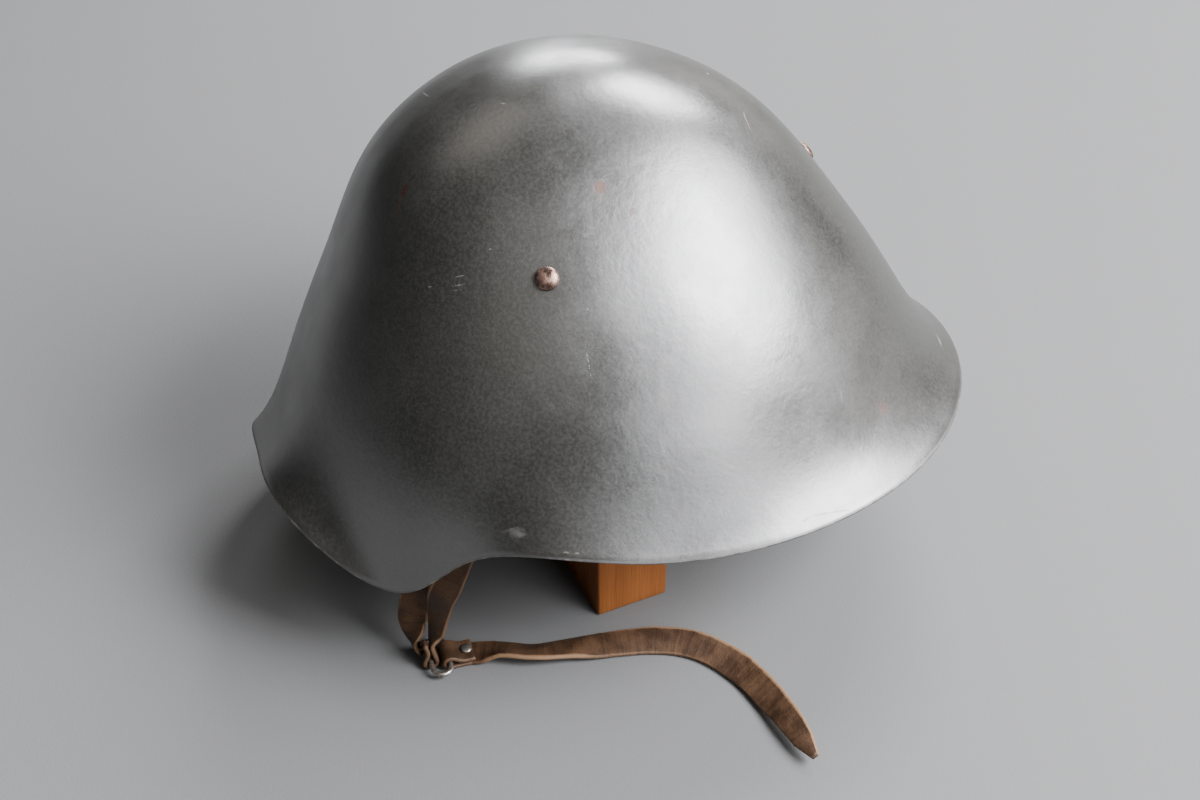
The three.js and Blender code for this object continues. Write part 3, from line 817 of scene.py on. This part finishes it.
def paint_finish(settings):
    """Worn semi-gloss paint with specks of rust, hair scratches and a bare rim."""
    paint = Finish("helmet_paint", Metallic=0.0, IOR=2.3)
    ragged = paint.warped(900.0, 0.0011)
    clouds = paint.noise(14, 4.0, 0.6)
    speckle = paint.noise(760, 3.0, 0.6)
    grit = paint.noise(3600, 1.0)
    colour = paint.mix(paint.between(clouds, 0.35, 0.68), settings.paint, settings.paint_faded)
    colour = paint.mix(paint.between(speckle, 0.35, 0.68, 0.0, 0.6), colour, settings.speck_light)
    colour = paint.mix(paint.between(grit, 0.42, 0.6, 0.0, 0.3), colour, settings.speck_dark)

    rust = rust_mask(paint, ragged)
    hair = hair_mask(paint)
    pale = scratches(paint, ragged, PALE_SCRATCHES)
    dark = scratches(paint, ragged, DARK_SCRATCHES)
    smear = paint.between(paint.noise(330, 4.0, 0.7, (1.0, 0.35, 1.0)), 0.4, 0.68)
    scuff = scratches(paint, paint.warped(160.0, 0.007), SCUFFS) * smear

    from_rim = paint.attribute("from_rim")
    nibble = paint.noise(190, 3.0, 0.65)
    worn_stretch = paint.between(paint.noise(34, 2.0), 0.54, 0.66)
    chips = paint.between(from_rim + nibble * 0.0022, 0.0011, 0.0014, 1.0, 0.0) * worn_stretch
    on_edge = paint.between(from_rim, 0.0002, 0.0005, 1.0, 0.0) * paint.between(nibble, 0.5, 0.62)
    bare = strongest(paint, [chips * 0.7, on_edge * 0.45])
    grime = paint.between(from_rim + paint.noise(60, 3.0) * 0.006, 0.003, 0.008, 0.35, 0.0)
    # Painted shade: the rim's lip is darkened into a thin dark line, and made rougher
    lip = paint.between(from_rim, 0.0004, 0.0012, 0.9, 0.0)

    colour = paint.mix(rust * 0.85, colour, settings.rust)
    colour = paint.mix(scuff, colour, settings.scuffed)
    colour = paint.mix(strongest(paint, [pale * 0.75, hair * 0.3]), colour, settings.bare_primer)
    colour = paint.mix(dark * 0.8, colour, (0.012, 0.011, 0.01))
    colour = paint.mix(grime, colour, (0.03, 0.026, 0.02))
    # Painted shade: the dark line on the lip
    colour = paint.mix(lip, colour, (0.007, 0.006, 0.0045))
    metal_tone = paint.mix(paint.between(nibble, 0.35, 0.7), (0.07, 0.055, 0.042), (0.36, 0.33, 0.29))
    paint.wear("Base Color", paint.mix(bare, colour, metal_tone))

    low, high = settings.roughness - 0.035, settings.roughness + 0.05
    rough = paint.between(paint.noise(38, 4.0, 0.6), 0.3, 0.7, low, high) + (speckle - 0.5) * 0.07
    rough = rough + rust * 0.22 + pale * 0.12 + scuff * 0.3 + lip * 0.25 + hair * 0.16
    paint.wear("Roughness", rough)
    paint.wear("Metallic", strongest(paint, [bare * 0.75, rust * 0.8]))

    relief = paint.bump(paint.noise(210, 3.0, 0.55), settings.peel)
    relief = paint.bump(speckle, 0.00003, relief)
    scored = pale + dark + bare * 0.8 + rust * 0.3
    paint.wear("Normal", paint.bump(1 - scored, 0.00004, relief))
    return paint.material


def rivet_finish(settings):
    """Reddish worn metal with grime and flecks of paint left on it."""
    metal = Finish("worn_rivet_metal", IOR=1.6)
    patches = metal.noise(330, 4.0, 0.6)
    fine = metal.noise(1600, 3.0, 0.6)
    worn = metal.mix(metal.between(patches, 0.35, 0.62), settings.rivet_dark, settings.rivet_bright)
    grime = metal.between(metal.noise(520, 3.0), 0.6, 0.68)
    metal.wear("Base Color", metal.mix(grime, worn, (0.035, 0.028, 0.022)))
    metal.wear("Metallic", (1 - grime) * 0.8)
    metal.wear("Roughness", metal.between(patches + (fine - 0.5) * 0.5, 0.3, 0.75, 0.26, 0.5))
    metal.wear("Normal", metal.bump(patches + fine * 0.4, 0.00018))
    return metal.material


def fitting_finish(settings):
    """Dull bare wire and studs, with patches of brown grime."""
    metal = Finish("dull_fitting_metal", IOR=1.6)
    patches = metal.noise(420, 4.0, 0.6)
    drawn = metal.noise(900, 3.0, 0.6, (1.0, 0.15, 1.0))
    tone = metal.mix(metal.between(patches, 0.4, 0.7), settings.fitting, (0.16, 0.115, 0.08))
    metal.wear("Base Color", tone)
    metal.wear("Metallic", metal.between(patches, 0.45, 0.75, 0.95, 0.55))
    metal.wear("Roughness", metal.between(drawn, 0.3, 0.7, 0.25, 0.48))
    metal.wear("Normal", metal.bump(drawn + patches * 0.5, 0.00008))
    return metal.material


def leather_finish(name, settings, depth):
    """Dry leather: grain, creases across the strap, dark handling marks, pale raw edges, and a painted
    highlight that makes the raised edge paler still.
    """
    hide = Finish(name, IOR=1.45)
    run = hide.attribute("run")
    edge = hide.attribute("edge")
    grain = hide.cells(1500.0)
    pores = hide.noise(2600, 2.0, 0.6)
    tone = hide.noise(75, 5.0, 0.62)
    inputs = {"W": run + tone * 0.004, "Scale": 420.0, "Detail": 3.0}
    crease = hide.node("ShaderNodeTexNoise", {"noise_dimensions": "1D"}, inputs)
    colour = hide.mix(hide.between(tone, 0.36, 0.66), settings.leather_dark, settings.leather)
    colour = hide.mix(hide.between(pores, 0.45, 0.75, 0.0, 0.4), colour, (0.025, 0.012, 0.0055))
    colour = hide.mix(hide.between(crease, 0.6, 0.78, 0.0, 0.45), colour, (0.03, 0.015, 0.0075))
    # Painted highlight: the pale raw edge is strongest on the edge that is raised, and fainter on the lower
    # edge
    raised = hide.between(hide.attribute("raised"), 0.02, 0.2)
    raw_edge_and_highlight = hide.between(edge + (tone - 0.5) * 0.4 + raised * 0.13, 0.86, 1.0) * (raised * 0.65 + 0.35)
    colour = hide.mix(raw_edge_and_highlight * depth, colour, settings.leather_edge_and_highlight)
    hide.wear("Base Color", colour)
    hide.wear("Roughness", hide.between(tone + (pores - 0.5) * 0.4, 0.3, 0.7, 0.5, 0.72))
    relief = hide.bump(grain, 0.00009)
    relief = hide.bump(crease, 0.00022, relief)
    hide.wear("Normal", hide.bump(tone, 0.0003, relief))
    return hide.material


def wood_finish(settings):
    """Straight-grained orange-brown wood with darker late-wood lines and pores."""
    wood = Finish("block_wood", IOR=1.45)
    bent = wood.warped(9.0, 0.006)
    lines = wood.noise(330, 4.0, 0.62, (1.0, 1.0, 0.018), place=bent)
    bands = wood.noise(90, 3.0, 0.55, (1.0, 1.0, 0.03), place=bent)
    fibres = wood.noise(1100, 3.0, 0.6, (1.0, 1.0, 0.04))
    pores = wood.noise(620, 2.0, 0.5, (1.0, 1.0, 0.07))
    late = wood.between(lines * 0.6 + bands * 0.4, 0.5, 0.68)
    colour = wood.mix(wood.between(bands, 0.35, 0.65), settings.wood, settings.wood_light)
    colour = wood.mix(late * 0.6, colour, settings.wood_dark)
    colour = wood.mix(wood.between(fibres, 0.5, 0.8, 0.0, 0.35), colour, settings.wood_dark)
    colour = wood.mix(wood.between(pores, 0.68, 0.75, 0.0, 0.6), colour, (0.07, 0.022, 0.008))
    wood.wear("Base Color", colour)
    wood.wear("Roughness", wood.between(fibres, 0.3, 0.7, 0.42, 0.6))
    wood.wear("Normal", wood.bump(fibres + late * 0.5, 0.00018))
    return wood.material


def floor_finish(settings):
    """A plain pale floor with a faint mottle."""
    floor = Finish("plain_floor", IOR=1.4)
    mottle = floor.noise(28, 4.0, 0.6)
    fine = floor.noise(900, 2.0)
    low = tuple(c * 0.96 for c in settings.floor)
    floor.wear("Base Color", floor.mix(mottle * 0.6 + fine * 0.4, settings.floor, low))
    floor.wear("Roughness", floor.between(fine, 0.3, 0.7, 0.75, 0.85))
    floor.wear("Normal", floor.bump(fine, 0.0001))
    return floor.material


# Settings that a user would change

def colour_setting(name, description, default):
    return bpy.props.FloatVectorProperty(
        name=name, description=description, subtype="COLOR", size=3, min=0.0, max=1.0, default=default)


def length_setting(name, description, default, most):
    return bpy.props.FloatProperty(
        name=name, description=description, subtype="DISTANCE", unit="LENGTH", precision=5, min=0.0, max=most,
        default=default)


class HelmetPaintSettings(bpy.types.PropertyGroup):
    paint: colour_setting("Paint", "Main paint tone", (0.017, 0.0165, 0.0135))
    paint_faded: colour_setting("Faded paint", "Paint tone of the worn patches", (0.025, 0.024, 0.0198))
    speck_light: colour_setting("Light speckle", "Lightest grain of the paint", (0.05, 0.048, 0.041))
    speck_dark: colour_setting("Dark speckle", "Darkest grain of the paint", (0.008, 0.0076, 0.0062))
    rust: colour_setting("Rust", "Rust spots and flecks", (0.12, 0.042, 0.021))
    bare_primer: colour_setting("Scratches", "What a deep scratch shows", (0.26, 0.235, 0.19))
    scuffed: colour_setting("Scuffs", "Dull paint of a scuffed place", (0.13, 0.125, 0.112))
    roughness: bpy.props.FloatProperty(
        name="Roughness", description="Middle roughness of the paint", default=0.33, min=0.05, max=1.0)
    peel: length_setting("Peel", "Height of the paint's fine unevenness", 0.00008, 0.001)
    ripple: length_setting("Ripple", "Height of the pressed steel's slight unevenness", 0.00012, 0.001)


class HelmetMetalSettings(bpy.types.PropertyGroup):
    rivet_bright: colour_setting("Rivet", "Worn reddish top of the rivets", (0.34, 0.21, 0.165))
    rivet_dark: colour_setting("Rivet hollows", "Dull part of the rivets", (0.1, 0.06, 0.046))
    fitting: colour_setting("Fittings", "Bare wire and studs", (0.56, 0.53, 0.48))


class HelmetLeatherSettings(bpy.types.PropertyGroup):
    leather: colour_setting("Leather", "Lighter tone of the straps", (0.102, 0.051, 0.0225))
    leather_dark: colour_setting("Dark leather", "Darker tone of the straps", (0.042, 0.02, 0.0095))
    # The pale raw edge's colour, also used for the painted highlight on the raised edge
    leather_edge_and_highlight: colour_setting("Raw edge", "Rubbed raw edge of the straps", (0.27, 0.155, 0.082))
    edge_round: length_setting("Edge rounding", "How far in from the edge the strap is rounded", 0.0009, 0.003)


class HelmetBlockSettings(bpy.types.PropertyGroup):
    wood: colour_setting("Wood", "Main tone of the block", (0.25, 0.076, 0.014))
    wood_light: colour_setting("Light wood", "Light tone of the block", (0.34, 0.115, 0.024))
    wood_dark: colour_setting("Late wood", "Dark lines of the grain", (0.13, 0.037, 0.01))
    bevel: length_setting("Edge rounding", "Radius of the block's worn edges", 0.0009, 0.004)


class HelmetStageSettings(bpy.types.PropertyGroup):
    floor: colour_setting("Floor", "Plain floor", (0.17, 0.171, 0.169))
    window_tint: colour_setting("Window tint", "Cool light of the windows", (0.95, 0.957, 1.0))
    room_tint: colour_setting("Room tint", "Warm light of the room and its walls", (1.0, 0.94, 0.84))
    window_light: bpy.props.FloatProperty(
        name="Window light", description="Brightness of the soft lights", default=1.0, min=0.0, max=10.0)
    ambient: bpy.props.FloatProperty(
        name="Room light", description="Strength of the even light all round", default=0.05, min=0.0, max=5.0)


# Operators

class HELMET_OT_build_shell(bpy.types.Operator):
    """Build the painted steel shell with its rounded rim"""

    bl_idname = "helmet.build_shell"
    bl_label = "Painted Shell"

    def execute(self, context):
        settings = context.scene.helmet_paint
        azimuth = np.linspace(0, 360, SHELL_COLUMNS, endpoint=False)
        azimuth = azimuth - COLUMN_CROWDING * np.sin(np.radians(2 * azimuth))
        parts = np.linspace(0, 1, SHELL_ROWS + 1)[1:, None]
        grid = outer_point(azimuth, parts)
        steps = np.linalg.norm(np.diff(grid, axis=0), axis=-1)
        from_rim = np.concatenate([np.cumsum(steps[::-1], axis=0)[::-1], np.zeros((1, SHELL_COLUMNS))])
        outward = outer_normal(azimuth, parts) @ TILT.T
        down = unit(grid[-1] - grid[-2]) @ TILT.T
        outer = on_floor(grid)
        outer = outer + outward * (self.ripple(outer, from_rim) * settings.ripple / MM)[..., None]
        inner = outer - outward * WALL
        outer[-1] -= down * RIM_BULGE
        inner[-1] -= down * RIM_BULGE
        middle = (outer[-1] + inner[-1]) / 2
        lip = [
            middle + outward[-1] * (WALL / 2 * math.cos(turn)) + down * (RIM_BULGE * math.sin(turn))
            for turn in np.radians((30, 60, 90, 120, 150))]
        rings = [*outer, *lip, *inner[::-1]]
        crown = on_floor(np.array([[0, -DOME_FORWARD, CROWN_HEIGHT], [0, -DOME_FORWARD, CROWN_HEIGHT - WALL]]))
        on_lip = np.zeros(len(lip) * SHELL_COLUMNS)
        distance = np.concatenate([from_rim.ravel(), on_lip, from_rim[::-1].ravel(), [FAR_FROM_RIM] * 2])
        make_piece(
            "painted_shell", np.concatenate([*rings, crown]), closed_tube(len(rings), SHELL_COLUMNS),
            ["shell"], paint_finish(settings), {"from_rim": distance * MM})
        return {"FINISHED"}

    def ripple(self, points, from_rim):
        """The pressed sheet's slow waves, fading towards the rim."""
        waves = [
            noise.noise(Vector(point) * 0.022) + 0.5 * noise.noise(Vector(point) * 0.05)
            for point in points.reshape(-1, 3)]
        return np.reshape(waves, from_rim.shape) * np.clip(from_rim / RIPPLE_FADE, 0, 1)


class HELMET_OT_build_rivets(bpy.types.Operator):
    """Build the three domed rivets"""

    bl_idname = "helmet.build_rivets"
    bl_label = "Rivets"

    def execute(self, context):
        finish = rivet_finish(context.scene.helmet_metal)
        grip = GAP + BAND_INNER_DEPTH + GAP
        profile = rivet_profile(
            RIVET_HEAD_RADIUS, RIVET_HEAD_RISE, RIVET_SHANK_RADIUS, grip, CLENCH_RADIUS, CLENCH_RISE)
        for name, azimuth in RIVETS.items():
            place, axis = on_wall(azimuth, RIVET_HEIGHT)
            points, faces = lathe(profile, place + axis * GAP, axis, segments=40)
            make_piece("domed_" + name, on_floor(points), faces, [name], finish)
        return {"FINISHED"}


class HELMET_OT_build_band(bpy.types.Operator):
    """Build the leather band inside the shell"""

    bl_idname = "helmet.build_band"
    bl_label = "Strap Band"

    def execute(self, context):
        azimuth = np.linspace(0, 360, 200, endpoint=False)
        half, soft = BAND_HEIGHT / 2, 0.5
        section = [
            (half - soft, BAND_OUTER_DEPTH), (0, BAND_OUTER_DEPTH), (-half + soft, BAND_OUTER_DEPTH),
            (-half, BAND_OUTER_DEPTH + soft), (-half, BAND_INNER_DEPTH - soft),
            (-half + soft, BAND_INNER_DEPTH), (0, BAND_INNER_DEPTH), (half - soft, BAND_INNER_DEPTH),
            (half, BAND_INNER_DEPTH - soft), (half, BAND_OUTER_DEPTH + soft),
        ]
        lines = []
        for height, depth in section:
            part = part_at_height(azimuth, RIVET_HEIGHT + height)
            lines.append(outer_point(azimuth, part) - outer_normal(azimuth, part) * depth)
        points = np.stack(lines, axis=1).reshape(-1, 3)
        faces = ring_faces(len(azimuth), len(section), closed=True)
        edge = [1.0 if abs(height) >= half - soft else 0.5 for height, _ in section] * len(azimuth)
        run = np.repeat(np.radians(azimuth) * BAND_RADIUS * MM, len(section))
        finish = leather_finish("band_leather", context.scene.helmet_leather, 0.35)
        make_piece(
            "inner_band", on_floor(points), faces, ["strap_band"], finish,
            {"edge": edge, "raised": np.zeros(len(edge)), "run": run})
        return {"FINISHED"}


class HELMET_OT_build_straps(bpy.types.Operator):
    """Build the four legs and the free chin strap"""

    bl_idname = "helmet.build_straps"
    bl_label = "Leather Straps"

    def execute(self, context):
        settings = context.scene.helmet_leather
        finish = leather_finish("strap_leather", settings, 0.85)
        edge_round = settings.edge_round / MM
        meshes = {}
        for leg in LEGS:
            rows = eye_rows(leg["loop"], leg["eye"]) + table_rows(leg["rows"]) + band_rows(leg["azimuth"])
            meshes[leg["name"]] = strap_mesh(rows, edge_round, step=1.5, cup=0.25, wave=0.22)
        rows = eye_rows(LEFT_LOOP, STRAP_EYE) + table_rows(FREE_STRAP)
        meshes["chin_strap"] = strap_mesh(rows, edge_round, step=1.2, cup=0.2, wave=0.3)
        for name, (points, faces, attributes) in meshes.items():
            make_piece("leather_" + name, points, faces, [name], finish, attributes)
        return {"FINISHED"}


class HELMET_OT_build_fittings(bpy.types.Operator):
    """Build the wire loops and the studs"""

    bl_idname = "helmet.build_fittings"
    bl_label = "Loops and Studs"

    def execute(self, context):
        finish = fitting_finish(context.scene.helmet_metal)
        for name, loop in (("left_loop", LEFT_LOOP), ("right_loop", RIGHT_LOOP)):
            points, faces = self.wire(loop)
            make_piece("wire_" + name, points, faces, [name], finish)
        for leg in LEGS:
            place, axis = on_wall(leg["azimuth"], RIVET_HEIGHT)
            place = place - axis * (BAND_INNER_DEPTH + CURVED_GAP + STRAP_THICKNESS + GAP)
            grip = GAP + STRAP_THICKNESS + CURVED_GAP + BAND_THICKNESS
            profile = rivet_profile(STUD_HEAD_RADIUS, STUD_HEAD_RISE, STUD_SHANK_RADIUS, grip)
            points, faces = lathe(profile, place, -axis, segments=28)
            name = leg["name"] + "_stud"
            make_piece("domed_" + name, on_floor(points), faces, [name], finish)
        place = np.array([
            LEFT_LOOP["x"], LEFT_LOOP["y"] + BAR_REACH + STUD_FROM_BAR,
            2 * STRAP_THICKNESS + FLOOR_CLEARANCE + 2 * GAP])
        grip = 2 * STRAP_THICKNESS + 2 * GAP
        profile = rivet_profile(STUD_HEAD_RADIUS, STUD_HEAD_RISE, STUD_SHANK_RADIUS, grip)
        points, faces = lathe(profile, place, (0, 0, 1), segments=28)
        make_piece("domed_chin_strap_stud", points, faces, ["chin_strap_stud"], finish)
        return {"FINISHED"}

    def wire(self, loop):
        half = BAR_LENGTH / 2
        sides = 14
        path = []
        for end in (1, -1):
            for angle in np.linspace(90, -90, 17):
                turn = math.radians(angle)
                path.append((
                    (end * half + end * BAR_REACH * math.cos(turn), end * BAR_REACH * math.sin(turn)),
                    (end * math.cos(turn), end * math.sin(turn))))
            for share in (0.25, 0.5, 0.75):
                path.append(((end * (half - 2 * half * share), -end * BAR_REACH), (0, -end)))
        points = []
        turn = math.radians(loop["turn"])
        for (x, y), (nx, ny) in path:
            for angle in np.linspace(0, 2 * math.pi, sides, endpoint=False):
                radius = WIRE_RADIUS * (1 + 0.02 * math.sin(7 * x))
                px = x + nx * radius * math.cos(angle)
                py = y + ny * radius * math.cos(angle)
                points.append((
                    loop["x"] + px * math.cos(turn) - py * math.sin(turn),
                    loop["y"] + px * math.sin(turn) + py * math.cos(turn),
                    LOOP_HEIGHT + radius * math.sin(angle)))
        return np.array(points), ring_faces(len(path), sides, closed=True)


class HELMET_OT_build_block(bpy.types.Operator):
    """Build the wooden block that props up the shell"""

    bl_idname = "helmet.build_block"
    bl_label = "Wooden Block"

    def execute(self, context):
        settings = context.scene.helmet_block
        bevel = settings.bevel / MM
        corner, along, across = block_corners()
        heights = [0.0, bevel * 0.3, bevel, *np.arange(4, BLOCK_HEIGHT - 2, 4.0)]
        heights += [BLOCK_HEIGHT - bevel, BLOCK_HEIGHT - bevel * 0.3, BLOCK_HEIGHT]
        outline = self.outline(bevel)
        points = []
        for height in heights:
            from_end = min(height, BLOCK_HEIGHT - height)
            inset = bevel - math.sqrt(max(0.0, bevel**2 - max(0.0, bevel - from_end) ** 2))
            for a, b in outline:
                shrink_a = 1 - inset / (BLOCK_DEPTH / 2)
                shrink_b = 1 - inset / (BLOCK_WIDTH / 2)
                wear = 0.12 * noise.noise(Vector((a * 0.09, b * 0.09, height * 0.05)))
                u = BLOCK_DEPTH / 2 + (a - BLOCK_DEPTH / 2) * shrink_a * (1 - abs(wear) / BLOCK_DEPTH)
                v = BLOCK_WIDTH / 2 + (b - BLOCK_WIDTH / 2) * shrink_b * (1 - abs(wear) / BLOCK_WIDTH)
                points.append(corner - along * u + across * v + np.array([0, 0, height]))
        faces = ring_faces(len(heights), len(outline)) + ring_caps(len(heights), len(outline))
        block = make_piece(
            "wooden_block", np.array(points), faces, ["stand_block"], wood_finish(settings))
        block.data.polygons[len(faces) - 1].use_smooth = False
        block.data.polygons[len(faces) - 2].use_smooth = False
        return {"FINISHED"}

    def outline(self, bevel):
        """The block's section, anticlockwise seen from above, with rounded corners."""
        outline = []
        corners = (
            (bevel, bevel, 180), (bevel, BLOCK_WIDTH - bevel, 90),
            (BLOCK_DEPTH - bevel, BLOCK_WIDTH - bevel, 0), (BLOCK_DEPTH - bevel, bevel, -90))
        for index, (a, b, start) in enumerate(corners):
            for step in range(5):
                turn = math.radians(start + 90 - 22.5 * step)
                outline.append((a + bevel * math.cos(turn), b + bevel * math.sin(turn)))
            following = corners[(index + 1) % 4]
            end = outline[-1]
            first_turn = math.radians(following[2] + 90)
            first = (following[0] + bevel * math.cos(first_turn), following[1] + bevel * math.sin(first_turn))
            for share in np.linspace(0, 1, 9)[1:-1]:
                outline.append(tuple(e * (1 - share) + f * share for e, f in zip(end, first)))
        return outline


class HELMET_OT_build_stage(bpy.types.Operator):
    """Set the camera, the soft lights and the plain floor"""

    bl_idname = "helmet.build_stage"
    bl_label = "Camera, Lights and Floor"

    def execute(self, context):
        settings = context.scene.helmet_stage
        self.floor(settings)
        self.camera(context)
        world = bpy.data.worlds.new("even_room_light")
        world.use_nodes = True
        background = world.node_tree.nodes["Background"]
        background.inputs["Color"].default_value = (0.86, 0.9, 1.0, 1.0)
        background.inputs["Strength"].default_value = settings.ambient
        context.scene.world = world
        # Columns: name, azimuth, elevation, distance, width, height, and brightness
        lights = (
            ("window_side", 143, 43, 1.6, 0.8, 0.9, 32.0),
            ("window_haze", 143, 42, 1.75, 1.5, 1.2, 4.5),
            ("window_low", 113, 21, 1.7, 0.55, 0.4, 11.5),
            ("window_back", 176, 43, 1.7, 0.6, 0.7, 12.0),
            ("window_behind", -132, 43, 1.7, 0.75, 0.6, 30.0),
            ("window_far", -103, 14, 1.8, 0.5, 0.3, 30.0),
            ("wall_back", 172, 8, 1.9, 1.4, 0.4, 1.1),
            ("wall_behind", -135, 7, 1.9, 1.2, 0.35, 1.6),
            ("room_glow", 60, 52, 1.8, 1.3, 1.2, 0.36),
            ("room_left", -55, 55, 1.8, 1.0, 1.0, 0.95),
        )
        for name, azimuth, elevation, distance, width, height, brightness in lights:
            data = bpy.data.lights.new(name, "AREA")
            data.shape = "RECTANGLE"
            data.size = width
            data.size_y = height
            data.color = tuple(settings.window_tint if name.startswith("window") else settings.room_tint)
            data.energy = math.pi * width * height * brightness * settings.window_light
            self.hang(data, math.radians(azimuth), math.radians(elevation), distance)
        return {"FINISHED"}

    def floor(self, settings):
        size, steps = 6.0, 12
        mesh = bpy.data.meshes.new("plain_floor")
        marks = np.linspace(-size / 2, size / 2, steps + 1)
        points = [(x, y, 0.0) for y in marks for x in marks]
        row = steps + 1
        faces = [
            (j * row + i, j * row + i + 1, (j + 1) * row + i + 1, (j + 1) * row + i)
            for j in range(steps) for i in range(steps)]
        mesh.from_pydata(points, [], faces)
        floor = bpy.data.objects.new("plain_floor", mesh)
        mesh.materials.append(floor_finish(settings))
        bpy.context.scene.collection.objects.link(floor)

    def camera(self, context):
        data = bpy.data.cameras.new("camera")
        data.sensor_fit = "HORIZONTAL"
        data.sensor_width = SENSOR
        data.lens = LENS
        data.clip_start = 0.01
        camera = bpy.data.objects.new("camera", data)
        right = Vector(CAMERA_RIGHT).normalized()
        back = -Vector(CAMERA_FORWARD).normalized()
        up = back.cross(right).normalized()
        right = up.cross(back)
        turn = Matrix((right, up, back)).transposed()
        camera.matrix_world = Matrix.Translation((Vector(CAMERA_PLACE) + Vector(SHIFT)) * MM) @ turn.to_4x4()
        context.scene.collection.objects.link(camera)
        context.scene.camera = camera

    def hang(self, data, azimuth, elevation, distance):
        """Hangs a lamp round the helmet, and aims it at its middle."""
        across = math.cos(elevation)
        away = Vector((math.sin(azimuth) * across, -math.cos(azimuth) * across, math.sin(elevation)))
        lamp = bpy.data.objects.new(data.name, data)
        lamp.location = away * distance + Vector((0, 0, LIGHT_AIM_HEIGHT))
        lamp.rotation_euler = (-away).to_track_quat("-Z", "Y").to_euler()
        bpy.context.scene.collection.objects.link(lamp)


STEPS = (
    HELMET_OT_build_shell,
    HELMET_OT_build_rivets,
    HELMET_OT_build_band,
    HELMET_OT_build_straps,
    HELMET_OT_build_fittings,
    HELMET_OT_build_block,
    HELMET_OT_build_stage,
)

SETTINGS = {
    "helmet_paint": HelmetPaintSettings,
    "helmet_metal": HelmetMetalSettings,
    "helmet_leather": HelmetLeatherSettings,
    "helmet_block": HelmetBlockSettings,
    "helmet_stage": HelmetStageSettings,
}


class HELMET_PT_panel(bpy.types.Panel):
    """Lists the helmet's settings and building steps"""

    bl_idname = "HELMET_PT_panel"
    bl_label = "Helmet"
    bl_space_type = "VIEW_3D"
    bl_region_type = "UI"
    bl_category = "Helmet"

    def draw(self, context):
        layout = self.layout
        for key, group in SETTINGS.items():
            box = layout.box()
            for name in group.__annotations__:
                box.prop(getattr(context.scene, key), name)
        for step in STEPS:
            layout.operator(step.bl_idname)


def register():
    for group in SETTINGS.values():
        bpy.utils.register_class(group)
    for step in (*STEPS, HELMET_PT_panel):
        bpy.utils.register_class(step)
    for key, group in SETTINGS.items():
        setattr(bpy.types.Scene, key, bpy.props.PointerProperty(type=group))


def unregister():
    for key in SETTINGS:
        delattr(bpy.types.Scene, key)
    for step in (HELMET_PT_panel, *reversed(STEPS)):
        bpy.utils.unregister_class(step)
    for group in SETTINGS.values():
        bpy.utils.unregister_class(group)


def main():
    register()
    for step in STEPS:
        group, name = step.bl_idname.split(".")
        getattr(getattr(bpy.ops, group), name)()


if __name__ == "__main__":
    main()
